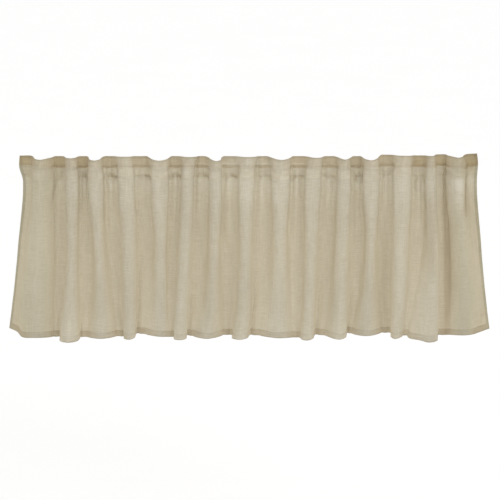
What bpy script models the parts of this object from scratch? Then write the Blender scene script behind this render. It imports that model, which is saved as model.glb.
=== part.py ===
"""Window valance: a gathered linen cloth with turned hems, the tape behind its heading, and a care label.

The cloth hangs from its top edge, which lies along X with the origin at its middle. Z is up and the room is
towards -Y. Its folds come from two short tables, one for the folds that stand forward and one for the
hollows between them. Each gives a few sizes at several heights, and a smooth line through them is the cloth
seen from above. Sizes are in millimetres until they are placed.
"""

import math
from typing import NamedTuple

import bmesh
import bpy
import numpy as np

MM = 0.001

# Driving sizes
DROP = 500.0  # finished height
CLOTH = 1.2  # thickness of the single cloth
HEM = 2.2  # thickness where it is turned in
HEADING_HEM = 27.0  # height of the hem along the top
BOTTOM_HEM = 16.6
SIDE_HEM = 8.0
HEM_STEP = 1.4  # width of the slope where a hem ends, on the back
TAPE = 1.0  # thickness of the heading tape
TAPE_TOP = 28.4  # below the top edge
TAPE_FOOT = 56.0
LABEL = 0.8  # thickness of the care label
LABEL_FOOT = 92.0
LABEL_FOLD = 15  # the fold that the label hangs behind, counted from the left
GAP = 0.3  # between pieces

# How finely the cloth is divided
STEPS_HALF_FOLD = 6
STEPS_SIDE = 7
CURVE_STEPS = 10  # points worked out between two points of a table
BODY_ROWS = (92.0, 150.0, 210.0, 270.0, 330.0, 385.0, 440.0)

# The heights of the tables: the heading's lower seam, halfway, low down and the hem
HEIGHTS = (TAPE_FOOT, 250.0, 390.0, DROP)
SIDE_HEIGHTS = (0.0, HEADING_HEM, 74.0) + HEIGHTS[1:]
TOP_SHARE = 0.9  # of a fold's depth at the seam, which the top edge keeps
RIDGE_TOP_SHARE = 0.2  # and of a hollow's ridge
WALL_FOOT = 0.22  # of a fold's depth, where its wall leaves the hollow
WALL_HEAD = 0.72  # and where it turns into the front
HOLLOW_CORNER = 0.34  # of the way from the wall's foot to the hollow's middle
LEAN_POWER = 1.6  # walls change their lean mostly low down
TOP_POWER = 1.5  # and leave their places at the top edge soon below it
BESIDE_SHARE = 0.7  # of the way from a side edge to its fold, where the depth beside it holds
SPLINE_POWER = 0.5  # centripetal
LONGEST_MITRE = 1.35


class Fold(NamedTuple):
    """A fold that stands forward: where its walls are at the top edge, and its sides and depth at HEIGHTS."""

    top: tuple  # left wall's foot and head, right wall's head and foot, at the top edge
    left: tuple
    right: tuple
    depth: tuple
    left_lean: tuple  # how far the left wall's foot lies in under the front, at the seam and at the hem
    right_lean: tuple  # the same for the right wall, less than nothing where it slopes out
    rise: tuple  # how far the crest lies above the level at the top edge and at the hem


class Hollow(NamedTuple):
    """The cloth between two folds: where its middle is, and how far forward its middle and its corners lie."""

    middle: tuple
    ridge: tuple
    floor: tuple
    rise: tuple
    climb: tuple = (0, 0, 0, 0)  # how much further forward its right corner lies than its left one


class Side(NamedTuple):
    """A side edge, at each of SIDE_HEIGHTS: its place, its depth, and the depth beside it."""

    place: tuple
    depth: tuple
    beside: tuple
    rise: tuple


FOLDS = (
    Fold(
        (-588, -584, -554, -536), (-589, -609, -625, -630), (-556, -555, -558, -560), (44, 46, 48, 47),
        (0, 0), (-19, -15), (-2, 0),
    ),
    Fold(
        (-506, -501, -475, -469), (-502, -502, -511, -523), (-468, -473, -475, -474), (38, 48, 58, 68),
        (3, 2), (-1, -6), (1, -8),
    ),
    Fold(
        (-441, -437, -408, -402), (-440, -427, -424, -432), (-402, -400, -394, -388), (45, 44, 43, 45),
        (2, -15), (-2, -16), (-4, -3),
    ),
    Fold(
        (-370, -358, -327, -316), (-359, -350, -348, -347), (-315, -312, -313, -317), (36, 46, 56, 66),
        (0, 1), (2, -3), (5, 0),
    ),
    Fold(
        (-276, -265, -228, -218), (-269, -260, -262, -266), (-223, -230, -232, -228), (47, 45, 42, 43),
        (1, -17), (0, -5), (-4, 2),
    ),
    Fold(
        (-192, -177, -149, -141), (-186, -196, -203, -209), (-154, -161, -169, -175), (35, 48, 58, 66),
        (1, 1), (1, 1), (4, -1),
    ),
    Fold(
        (-114, -104, -78, -76), (-111, -112, -118, -138), (-77, -84, -90, -96), (47, 45, 45, 46),
        (0, -15), (6, -18), (-5, -3),
    ),
    Fold(
        (-36, -18, 12, 22), (-31, -30, -35, -50), (11, 4, 1, -8), (36, 46, 56, 66),
        (-1, 1), (1, -6), (4, 0),
    ),
    Fold(
        (54, 69, 103, 113), (60, 65, 61, 53), (106, 98, 98, 101), (46, 45, 45, 46),
        (0, -20), (-2, -14), (-2, -1),
    ),
    Fold(
        (156, 168, 195, 201), (149, 150, 148, 142), (193, 184, 179, 174), (37, 48, 58, 66),
        (1, -4), (2, -4), (2, -2),
    ),
    Fold(
        (236, 248, 269, 277), (237, 234, 231, 227), (274, 270, 266, 264), (46, 48, 55, 64),
        (1, -15), (2, -3), (-1, 0),
    ),
    Fold(
        (305, 314, 345, 353), (308, 317, 310, 297), (351, 344, 342, 343), (46, 44, 42, 42),
        (1, -13), (0, -17), (-3, 4),
    ),
    Fold(
        (388, 403, 436, 448), (389, 391, 389, 387), (438, 432, 424, 410), (38, 50, 60, 66),
        (2, 2), (-2, -9), (8, 2),
    ),
    Fold(
        (477, 486, 503, 505), (477, 488, 480, 469), (507, 516, 518, 517), (36, 49, 50, 52),
        (0, -34), (3, 3), (7, -12),
    ),
    Fold(
        (536, 553, 577, 581), (547, 562, 570, 569), (588, 601, 615, 617), (45, 44, 43, 42),
        (-13, -15), (0, 0), (4, 6),
    ),
)
HOLLOWS = (
    Hollow((-520, -527, -531, -534), (6, 10, 21, 34), (2, 9, 19, 32), (0, 0)),
    Hollow((-452, -450, -454, -464), (8, 6, 13, 27), (2, 6, 12, 24), (0, -3)),
    Hollow((-381, -378, -368, -353), (8, 6, 14, 28), (2, 5, 13, 24), (0, -1)),
    Hollow((-293, -294, -300, -303), (6, 4, 15, 32), (2, 4, 10, 26), (0, 8), (0, 0, 8, 8)),
    Hollow((-204, -212, -217, -216), (7, 10, 28, 43), (2, 10, 27, 42), (0, 2)),
    Hollow((-140, -141, -150, -165), (8, 5, 15, 31), (2, 5, 12, 26), (0, 2), (0, 0, 5, 7)),
    Hollow((-59, -59, -62, -64), (7, 4, 7, 13), (2, 4, 7, 11), (0, -1)),
    Hollow((31, 28, 19, 10), (8, 5, 15, 32), (2, 5, 11, 26), (0, 4), (0, 0, 8, 8)),
    Hollow((127, 122, 121, 127), (8, 9, 24, 38), (2, 9, 24, 37), (0, -1)),
    Hollow((214, 211, 203, 190), (7, 5, 15, 30), (2, 5, 10, 24), (0, 4), (0, 0, 9, 10)),
    Hollow((293, 292, 286, 273), (8, 4, 10, 20), (2, 4, 7, 15), (0, 6), (0, 0, 4, 6)),
    Hollow((369, 367, 368, 374), (7, 2, 2, 5), (2, 2, 2, 2), (4, 3)),
    Hollow((459, 464, 446, 427), (7, 12, 36, 40), (2, 10, 35, 39), (2, 5)),
    Hollow((527, 535, 535, 530), (5, 4, 14, 28), (2, 2, 13, 26), (5, 3)),
)
LEFT_SIDE = Side((-627, -629, -619, -635, -650, -664), (0, 0, 2, 8, 12, 16), (-2, 0, 6, 20, 28, 32), (1, 20))
RIGHT_SIDE = Side((618, 621, 619, 633, 647, 661), (0, 0, 2, 6, 8, 12), (-4, 0, 5, 16, 23, 28), (7, 17))

# Colour, roughness and metallic of each piece
LINEN = ((0.50, 0.45, 0.33, 1.0), 0.9, 0.0)
TAPE_WEAVE = ((0.56, 0.51, 0.40, 1.0), 0.85, 0.0)
LABEL_SATIN = ((0.86, 0.85, 0.81, 1.0), 0.6, 0.0)


def between_heights(heights: tuple, values: tuple, drop: float) -> float:
    """Reads a row's value at a height, along a smooth curve that never passes its neighbours.

    Args:
        heights: the heights that the row gives its values for.
        values: the value at each of them.
        drop: distance below the top edge.

    Returns:
        The value there.
    """
    known = np.array(values, dtype=float)
    gaps = np.diff(heights)
    slopes = np.diff(known) / gaps
    before, after = slopes[:-1], slopes[1:]
    turning = before * after <= 0
    total = np.where(turning, 1.0, before + after)
    tangents = np.concatenate((slopes[:1], np.where(turning, 0.0, 2 * before * after / total), slopes[-1:]))
    i = int(np.clip(np.searchsorted(heights, drop) - 1, 0, len(gaps) - 1))
    t = (drop - heights[i]) / gaps[i]
    ends = (2 * t**3 - 3 * t**2 + 1) * known[i] + (3 * t**2 - 2 * t**3) * known[i + 1]
    bends = (t**3 - 2 * t**2 + t) * tangents[i] + (t**3 - t**2) * tangents[i + 1]
    return float(ends + gaps[i] * bends)


def table_value(values: tuple, drop: float, top_share: float = 1.0) -> float:
    """Reads a value that is given at HEIGHTS only, with top_share of its first one at the top edge."""
    return between_heights((0.0,) + HEIGHTS, (values[0] * top_share,) + tuple(values), drop)


def down_to_hem(ends: tuple, drop: float, power: float = 1.0) -> float:
    """Reads a value that is given at the top edge and at the hem."""
    return ends[0] + (ends[1] - ends[0]) * (drop / DROP) ** power


def side_points(side: Side, neighbour: float, drop: float) -> list:
    """Two points of the cloth from a side edge inwards: its place, its depth and its rise."""
    rise = down_to_hem(side.rise, drop)
    edge, depth, beside = (
        between_heights(SIDE_HEIGHTS, values, drop) for values in (side.place, side.depth, side.beside)
    )
    return [(edge, depth, rise), (edge + (neighbour - edge) * BESIDE_SHARE, beside, rise * 0.6)]


def wall_places(fold: Fold, drop: float) -> list:
    """Places a fold's walls: the left one's foot and head, and the right one's head and foot."""
    left, right = table_value(fold.left, drop), table_value(fold.right, drop)
    left_foot = left + down_to_hem(fold.left_lean, drop, LEAN_POWER)
    right_foot = right - down_to_hem(fold.right_lean, drop, LEAN_POWER)
    above = max(0.0, 1 - drop / TAPE_FOOT) ** TOP_POWER
    return [low + (top - low) * above for low, top in zip((left_foot, left, right, right_foot), fold.top)]


def wall(head: float, foot: float, depth: float, middle: float, floor: float) -> list:
    """Gives the points of a fold's wall as place and depth: its head, its foot and the hollow's corner.

    Args:
        head: where the wall turns into the fold's front.
        foot: where it leaves the hollow.
        depth: the fold's depth.
        middle: where the middle of the hollow beside it is.
        floor: the depth of the hollow's corner.

    Returns:
        The three points.
    """
    corner = foot + HOLLOW_CORNER * (middle - foot)
    height = depth - floor
    return [(head, floor + WALL_HEAD * height), (foot, floor + WALL_FOOT * height), (corner, floor)]


def wall_rises(fold: float, hollow: float) -> list:
    """Gives the rise at the wall's head, at its foot and at the hollow's corner."""
    return [0.7 * fold + 0.3 * hollow, 0.3 * fold + 0.7 * hollow, hollow]


def fold_points(drop: float) -> tuple:
    """Places the points that the cloth passes through at one height.

    Args:
        drop: distance below the top edge.

    Returns:
        The points, as place, depth and rise, and the numbers of those at a crest or a hollow's middle.
    """
    rise = {row: down_to_hem(row.rise, drop) for row in FOLDS + HOLLOWS}
    walls = {fold: wall_places(fold, drop) for fold in FOLDS}
    points = side_points(LEFT_SIDE, walls[FOLDS[0]][1], drop)
    marks = []
    for i, fold in enumerate(FOLDS):
        depth = table_value(fold.depth, drop, TOP_SHARE)
        left_foot, left_head, right_head, right_foot = walls[fold]
        if i > 0:
            hollow = HOLLOWS[i - 1]
            floor = table_value(hollow.floor, drop) + table_value(hollow.climb, drop)
            places = reversed(wall(left_head, left_foot, depth, table_value(hollow.middle, drop), floor))
            levels = reversed(wall_rises(rise[fold], rise[hollow]))
            points.extend((*place, level) for place, level in zip(places, levels))
        else:
            points.append((left_head, WALL_HEAD * depth, rise[fold]))
        marks.append(len(points))
        points.append(((left_head + right_head) / 2, depth, rise[fold]))
        if i < len(HOLLOWS):
            hollow = HOLLOWS[i]
            middle = table_value(hollow.middle, drop)
            places = wall(right_head, right_foot, depth, middle, table_value(hollow.floor, drop))
            levels = wall_rises(rise[fold], rise[hollow])
            points.extend((*place, level) for place, level in zip(places, levels))
            marks.append(len(points))
            ridge = table_value(hollow.ridge, drop, RIDGE_TOP_SHARE)
            points.append((middle, ridge, rise[hollow]))
        else:
            points.append((right_head, WALL_HEAD * depth, rise[fold]))
    points.extend(reversed(side_points(RIGHT_SIDE, walls[FOLDS[-1]][2], drop)))
    return np.array(points), marks


def smooth_curve(points: np.ndarray) -> np.ndarray:
    """Runs a centripetal Catmull-Rom curve through the points, CURVE_STEPS to each stretch."""
    ends = np.vstack((2 * points[0] - points[1], points, 2 * points[-1] - points[-2]))
    steps = np.linspace(0.0, 1.0, CURVE_STEPS, endpoint=False)[:, None]
    curve = []
    for a, b, c, d in zip(ends, ends[1:], ends[2:], ends[3:]):
        spans = [math.hypot(*(q - p)[:2]) ** SPLINE_POWER for p, q in ((a, b), (b, c), (c, d))]
        t0, t1, t2, t3 = np.concatenate(((0.0,), np.cumsum(spans)))
        t = t1 + (t2 - t1) * steps
        ab = (a * (t1 - t) + b * (t - t0)) / (t1 - t0)
        bc = (b * (t2 - t) + c * (t - t1)) / (t2 - t1)
        cd = (c * (t3 - t) + d * (t - t2)) / (t3 - t2)
        abc = (ab * (t2 - t) + bc * (t - t0)) / (t2 - t0)
        bcd = (bc * (t3 - t) + cd * (t - t1)) / (t3 - t1)
        curve.append((abc * (t2 - t) + bcd * (t - t1)) / (t2 - t1))
    return np.vstack(curve + [points[-1:]])


def cloth_line(drop: float) -> np.ndarray:
    """Divides the cloth at one height into columns that are even between each crest and each hollow's middle.

    Args:
        drop: distance below the top edge.

    Returns:
        Place, depth and rise of each column, and the direction of its back face with the mitre's length.
    """
    points, marks = fold_points(drop)
    curve = smooth_curve(points)
    walked = np.concatenate(((0.0,), np.cumsum(np.hypot(*np.diff(curve[:, :2], axis=0).T))))
    stops = [walked[mark * CURVE_STEPS] for mark in marks]
    hem = np.array((0.0, SIDE_HEM - HEM_STEP, SIDE_HEM))
    sections = [hem, np.linspace(SIDE_HEM, stops[0], STEPS_SIDE)[1:]]
    sections += [np.linspace(a, b, STEPS_HALF_FOLD + 1)[1:] for a, b in zip(stops, stops[1:])]
    sections += [np.linspace(stops[-1], walked[-1] - SIDE_HEM, STEPS_SIDE)[1:], (walked[-1] - hem[::-1])[1:]]
    wanted = np.concatenate(sections)
    line = np.column_stack([np.interp(wanted, walked, curve[:, k]) for k in range(3)])
    edges = np.diff(line[:, :2], axis=0)
    edges /= np.hypot(*edges.T)[:, None]
    before = np.vstack((edges[:1], edges))
    after = np.vstack((edges, edges[-1:]))
    middle = before + after
    middle /= np.hypot(*middle.T)[:, None]
    mitre = np.minimum(1 / np.maximum((middle * after).sum(axis=1), 0.1), LONGEST_MITRE)
    return np.column_stack((line, middle[:, 1] * mitre, -middle[:, 0] * mitre))


def back_of_cloth(column: int, columns: int, drop: float) -> float:
    """How far the cloth's back lies behind its front: more in the hems than in the single cloth."""
    in_side_hem = min(column, columns - 1 - column) <= 1
    in_top_or_bottom = drop <= HEADING_HEM - HEM_STEP or drop >= DROP - BOTTOM_HEM + HEM_STEP
    return HEM if in_side_hem or in_top_or_bottom else CLOTH


def material(name: str, finish: tuple) -> bpy.types.Material:
    """Makes a plain Principled material from a colour, a roughness and a metallic value."""
    made = bpy.data.materials.new(name)
    made.use_nodes = True
    surface = made.node_tree.nodes["Principled BSDF"].inputs
    for socket, value in zip(("Base Color", "Roughness", "Metallic"), finish):
        surface[socket].default_value = value
    return made


def sheet(name: str, rows: tuple, columns: range, front, back, finish: tuple) -> bpy.types.Object:
    """Makes a closed sheet that follows the cloth's folds.

    Args:
        name: the object's name.
        rows: the heights of its rows, as distances below the top edge.
        columns: the cloth's columns that it covers.
        front: gives the distance of its front behind the cloth's front, from a column and a height.
        back: gives the same for its back.
        finish: colour, roughness and metallic value.

    Returns:
        The object.
    """
    lines = [cloth_line(drop) for drop in rows]
    across, down = len(columns) - 1, len(rows) - 1
    mesh = bpy.data.meshes.new(name)
    bm = bmesh.new()
    bmesh.ops.create_grid(bm, x_segments=across, y_segments=down, size=0.5)
    bmesh.ops.triangulate(bm, faces=bm.faces[:], quad_method="FIXED")
    grown = bmesh.ops.extrude_face_region(bm, geom=bm.faces[:])["geom"]
    behind = {part for part in grown if isinstance(part, bmesh.types.BMVert)}
    for vert in bm.verts:
        column = columns[round((vert.co.x + 0.5) * across)]
        row = round((0.5 - vert.co.y) * down)
        place, depth, rise, way_x, way_depth = lines[row][column]
        offset = (back if vert in behind else front)(column, rows[row])
        x, y = place + way_x * offset, -(depth + way_depth * offset)
        vert.co = (x * MM, y * MM, (rise - rows[row]) * MM)
    bmesh.ops.recalc_face_normals(bm, faces=bm.faces[:])
    bm.to_mesh(mesh)
    bm.free()
    mesh.shade_smooth()
    mesh.set_sharp_from_angle(angle=math.radians(50))
    made = bpy.data.objects.new(name, mesh)
    made.data.materials.append(material(name, finish))
    bpy.context.scene.collection.objects.link(made)
    return made


def build_panel() -> bpy.types.Object:
    """Makes the cloth in one piece, thicker in its four hems."""
    columns = len(cloth_line(0.0))
    rows = (0.0, HEADING_HEM - HEM_STEP, HEADING_HEM + GAP, TAPE_FOOT)
    rows += BODY_ROWS + (DROP - BOTTOM_HEM, DROP - BOTTOM_HEM + HEM_STEP, DROP)
    return sheet(
        "valance_panel",
        rows,
        range(columns),
        lambda column, drop: 0.0,
        lambda column, drop: back_of_cloth(column, columns, drop),
        LINEN,
    )


def build_tape() -> bpy.types.Object:
    """Makes the tape behind the heading, from side hem to side hem."""
    columns = len(cloth_line(0.0))
    return sheet(
        "heading_tape",
        (TAPE_TOP, TAPE_FOOT),
        range(2, columns - 2),
        lambda column, drop: CLOTH + GAP,
        lambda column, drop: CLOTH + GAP + TAPE,
        TAPE_WEAVE,
    )


def build_label() -> bpy.types.Object:
    """Makes the blank label, which hangs from the tape's lower edge behind the crest of its fold."""
    crest = 2 + (STEPS_SIDE - 1) + 2 * (LABEL_FOLD - 1) * STEPS_HALF_FOLD
    return sheet(
        "care_label",
        (TAPE_FOOT + GAP, LABEL_FOOT),
        range(crest - 1, crest + 2),
        lambda column, drop: CLOTH + GAP,
        lambda column, drop: CLOTH + GAP + LABEL,
        LABEL_SATIN,
    )


def main() -> None:
    """Clears the scene and builds the pieces."""
    for old in list(bpy.data.objects):
        bpy.data.objects.remove(old, do_unlink=True)
    build_panel()
    build_tape()
    build_label()


main()
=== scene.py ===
"""Looks of the window valance: gathered linen with turned hems, a tape behind its heading and a blank label.

The cloth hangs in its solid's folds. One table gives the folds that stand forward, one the hollows between
them, and two more the creases and the small puffs under the heading that a hand would feel in the cloth.
Sizes are in millimetres until a mesh is placed, and the room is towards -Y.
"""

import logging
import math
from dataclasses import dataclass, field
from enum import Enum
from functools import cache
from typing import NamedTuple

import bmesh
import bpy
import numpy as np
from mathutils import Matrix, Vector


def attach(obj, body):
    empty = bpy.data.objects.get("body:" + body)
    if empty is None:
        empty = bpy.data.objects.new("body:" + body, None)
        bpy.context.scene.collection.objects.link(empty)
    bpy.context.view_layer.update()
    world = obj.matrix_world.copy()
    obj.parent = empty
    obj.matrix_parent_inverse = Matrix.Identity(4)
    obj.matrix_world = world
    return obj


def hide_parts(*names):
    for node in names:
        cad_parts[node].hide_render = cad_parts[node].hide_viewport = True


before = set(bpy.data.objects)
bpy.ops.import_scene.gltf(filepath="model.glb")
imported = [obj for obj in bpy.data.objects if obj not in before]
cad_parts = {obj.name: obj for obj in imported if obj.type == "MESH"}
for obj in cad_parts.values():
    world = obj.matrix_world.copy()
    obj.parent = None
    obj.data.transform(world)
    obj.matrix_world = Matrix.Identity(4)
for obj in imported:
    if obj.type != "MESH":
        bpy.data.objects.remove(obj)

LOG = logging.getLogger("valance")
MM = 0.001
SEED = 11
BODY = "root"


class Fold(NamedTuple):
    """A fold that stands forward: where its walls are at the top edge, and its sides and depth below it."""

    top: tuple  # left wall's foot and head, right wall's head and foot, at the top edge
    left: tuple
    right: tuple
    depth: tuple
    left_lean: tuple  # how far the left wall's foot lies in under the front, at the seam and at the hem
    right_lean: tuple  # the same for the right wall, less than nothing where it slopes out
    rise: tuple  # how far the crest lies above the level at the top edge and at the hem


class Hollow(NamedTuple):
    """The cloth between two folds: its middle, and how far its middle and its corners come forward."""

    middle: tuple
    ridge: tuple
    floor: tuple
    rise: tuple
    climb: tuple = (0, 0, 0, 0)  # how much further forward its right corner lies than its left one


class Side(NamedTuple):
    """A side edge, at each of the side's heights: its place, its depth, and the depth beside it."""

    place: tuple
    depth: tuple
    beside: tuple
    rise: tuple


class Crease(NamedTuple):
    """A soft ridge or trough along a straight line, each end given in half folds and below the top edge."""

    start: tuple
    end: tuple
    height: float  # towards the room, so a trough has less than nothing
    width: float


class Dent(NamedTuple):
    """A slanting trough over a puff's shoulder, each end given outwards from its middle and below the top."""

    depth: float
    near: tuple
    far: tuple


class Puff(NamedTuple):
    """A small arch of cloth that is pushed forward under the heading's lower seam, in one hollow."""

    middle: float  # in half folds
    top: float
    width: float  # half of it, where the arch is fully open
    height: float
    fade: float  # the drop over which it dies away
    left: Dent
    right: Dent


FOLDS = (
    Fold(
        (-588, -584, -554, -536), (-589, -609, -625, -630), (-556, -555, -558, -560), (44, 46, 48, 47),
        (0, 0), (-19, -15), (-2, 0),
    ),
    Fold(
        (-506, -501, -475, -469), (-502, -502, -511, -523), (-468, -473, -475, -474), (38, 48, 58, 68),
        (3, 2), (-1, -6), (1, -8),
    ),
    Fold(
        (-441, -437, -408, -402), (-440, -427, -424, -432), (-402, -400, -394, -388), (45, 44, 43, 45),
        (2, -15), (-2, -16), (-4, -3),
    ),
    Fold(
        (-370, -358, -327, -316), (-359, -350, -348, -347), (-315, -312, -313, -317), (36, 46, 56, 66),
        (0, 1), (2, -3), (5, 0),
    ),
    Fold(
        (-276, -265, -228, -218), (-269, -260, -262, -266), (-223, -230, -232, -228), (47, 45, 42, 43),
        (1, -17), (0, -5), (-4, 2),
    ),
    Fold(
        (-192, -177, -149, -141), (-186, -196, -203, -209), (-154, -161, -169, -175), (35, 48, 58, 66),
        (1, 1), (1, 1), (4, -1),
    ),
    Fold(
        (-114, -104, -78, -76), (-111, -112, -118, -138), (-77, -84, -90, -96), (47, 45, 45, 46),
        (0, -15), (6, -18), (-5, -3),
    ),
    Fold(
        (-36, -18, 12, 22), (-31, -30, -35, -50), (11, 4, 1, -8), (36, 46, 56, 66),
        (-1, 1), (1, -6), (4, 0),
    ),
    Fold(
        (54, 69, 103, 113), (60, 65, 61, 53), (106, 98, 98, 101), (46, 45, 45, 46),
        (0, -20), (-2, -14), (-2, -1),
    ),
    Fold(
        (156, 168, 195, 201), (149, 150, 148, 142), (193, 184, 179, 174), (37, 48, 58, 66),
        (1, -4), (2, -4), (2, -2),
    ),
    Fold(
        (236, 248, 269, 277), (237, 234, 231, 227), (274, 270, 266, 264), (46, 48, 55, 64),
        (1, -15), (2, -3), (-1, 0),
    ),
    Fold(
        (305, 314, 345, 353), (308, 317, 310, 297), (351, 344, 342, 343), (46, 44, 42, 42),
        (1, -13), (0, -17), (-3, 4),
    ),
    Fold(
        (388, 403, 436, 448), (389, 391, 389, 387), (438, 432, 424, 410), (38, 50, 60, 66),
        (2, 2), (-2, -9), (8, 2),
    ),
    Fold(
        (477, 486, 503, 505), (477, 488, 480, 469), (507, 516, 518, 517), (36, 49, 50, 52),
        (0, -34), (3, 3), (7, -12),
    ),
    Fold(
        (536, 553, 577, 581), (547, 562, 570, 569), (588, 601, 615, 617), (45, 44, 43, 42),
        (-13, -15), (0, 0), (4, 6),
    ),
)
HOLLOWS = (
    Hollow((-520, -527, -531, -534), (6, 10, 21, 34), (2, 9, 19, 32), (0, 0)),
    Hollow((-452, -450, -454, -464), (8, 6, 13, 27), (2, 6, 12, 24), (0, -3)),
    Hollow((-381, -378, -368, -353), (8, 6, 14, 28), (2, 5, 13, 24), (0, -1)),
    Hollow((-293, -294, -300, -303), (6, 4, 15, 32), (2, 4, 10, 26), (0, 8), (0, 0, 8, 8)),
    Hollow((-204, -212, -217, -216), (7, 10, 28, 43), (2, 10, 27, 42), (0, 2)),
    Hollow((-140, -141, -150, -165), (8, 5, 15, 31), (2, 5, 12, 26), (0, 2), (0, 0, 5, 7)),
    Hollow((-59, -59, -62, -64), (7, 4, 7, 13), (2, 4, 7, 11), (0, -1)),
    Hollow((31, 28, 19, 10), (8, 5, 15, 32), (2, 5, 11, 26), (0, 4), (0, 0, 8, 8)),
    Hollow((127, 122, 121, 127), (8, 9, 24, 38), (2, 9, 24, 37), (0, -1)),
    Hollow((214, 211, 203, 190), (7, 5, 15, 30), (2, 5, 10, 24), (0, 4), (0, 0, 9, 10)),
    Hollow((293, 292, 286, 273), (8, 4, 10, 20), (2, 4, 7, 15), (0, 6), (0, 0, 4, 6)),
    Hollow((369, 367, 368, 374), (7, 2, 2, 5), (2, 2, 2, 2), (4, 3)),
    Hollow((459, 464, 446, 427), (7, 12, 36, 40), (2, 10, 35, 39), (2, 5)),
    Hollow((527, 535, 535, 530), (5, 4, 14, 28), (2, 2, 13, 26), (5, 3)),
)
LEFT_SIDE = Side((-627, -629, -619, -635, -650, -664), (0, 0, 2, 8, 12, 16), (-2, 0, 6, 20, 28, 32), (1, 20))
RIGHT_SIDE = Side((618, 621, 619, 633, 647, 661), (0, 0, 2, 6, 8, 12), (-4, 0, 5, 16, 23, 28), (7, 17))

CREASES = (
    Crease((0.87, 68), (0.68, 122), -3.6, 3.6),
    Crease((-0.16, 58), (-0.04, 98), -0.9, 4.0),
    Crease((0.78, 68), (1.16, 60), -1.2, 3.0),
    Crease((12.62, 52), (12.86, 250), -1.0, 6.0),
    Crease((28.40, 24), (28.28, 170), -3.8, 5.0),
    Crease((23.00, 180), (23.00, 490), -1.1, 9.0),
    Crease((25.46, 80), (25.62, 150), -2.4, 3.6),
    Crease((26.00, 80), (26.00, 340), -0.9, 12.0),
    Crease((27.04, 0), (27.16, 540), -4.0, 10.0),
    Crease((28.52, 8), (28.52, 38), -0.8, 2.4),
    Crease((28.52, 35), (28.80, 36), -0.7, 2.4),
    Crease((28.80, 432), (28.94, 456), 2.6, 4.0),
    Crease((28.70, 458), (28.92, 446), -1.8, 4.0),
)
PUFFS = (
    Puff(1.06, 60, 14, 1.0, 60, Dent(1.8, (8, 60), (27, 70)), Dent(1.4, (-5, 62), (13, 58))),
    Puff(3.02, 50, 12, 2.6, 110, Dent(1.0, (4, 43), (18, 68)), Dent(1.1, (0, 41), (14, 73))),
    Puff(5.00, 54, 15, 2.2, 90, Dent(1.4, (14, 52), (18, 78)), Dent(3.2, (-4, 46), (30, 66))),
    Puff(7.00, 60, 20, 1.4, 70, Dent(1.4, (-8, 61), (15, 60)), Dent(3.0, (8, 50), (27, 69))),
    Puff(9.00, 52, 13, 2.2, 120, Dent(1.8, (2, 47), (14, 68)), Dent(2.4, (6, 50), (19, 64))),
    Puff(11.14, 48, 13, 2.4, 100, Dent(1.4, (4, 41), (17, 62)), Dent(2.0, (0, 43), (19, 65))),
    Puff(13.04, 54, 16, 2.2, 90, Dent(1.0, (4, 54), (15, 68)), Dent(2.4, (2, 46), (28, 63))),
    Puff(15.06, 54, 16, 2.6, 130, Dent(1.2, (2, 58), (16, 53)), Dent(2.8, (12, 56), (28, 70))),
    Puff(17.00, 54, 14, 2.4, 100, Dent(1.6, (2, 51), (14, 70)), Dent(1.9, (8, 54), (25, 61))),
    Puff(19.00, 56, 15, 2.0, 100, Dent(0.8, (4, 52), (15, 60)), Dent(2.4, (11, 53), (28, 73))),
    Puff(21.06, 51, 12, 2.8, 120, Dent(2.4, (4, 48), (15, 73)), Dent(2.6, (6, 50), (24, 86))),
    Puff(23.02, 50, 14, 1.8, 110, Dent(0.8, (3, 46), (9, 62)), Dent(1.0, (24, 40), (32, 58))),
    Puff(25.04, 58, 13, 2.2, 80, Dent(1.8, (4, 57), (16, 78)), Dent(3.0, (11, 52), (20, 84))),
    Puff(26.96, 56, 10, 1.8, 70, Dent(1.2, (4, 52), (12, 68)), Dent(3.0, (4, 54), (15, 100))),
)


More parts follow.
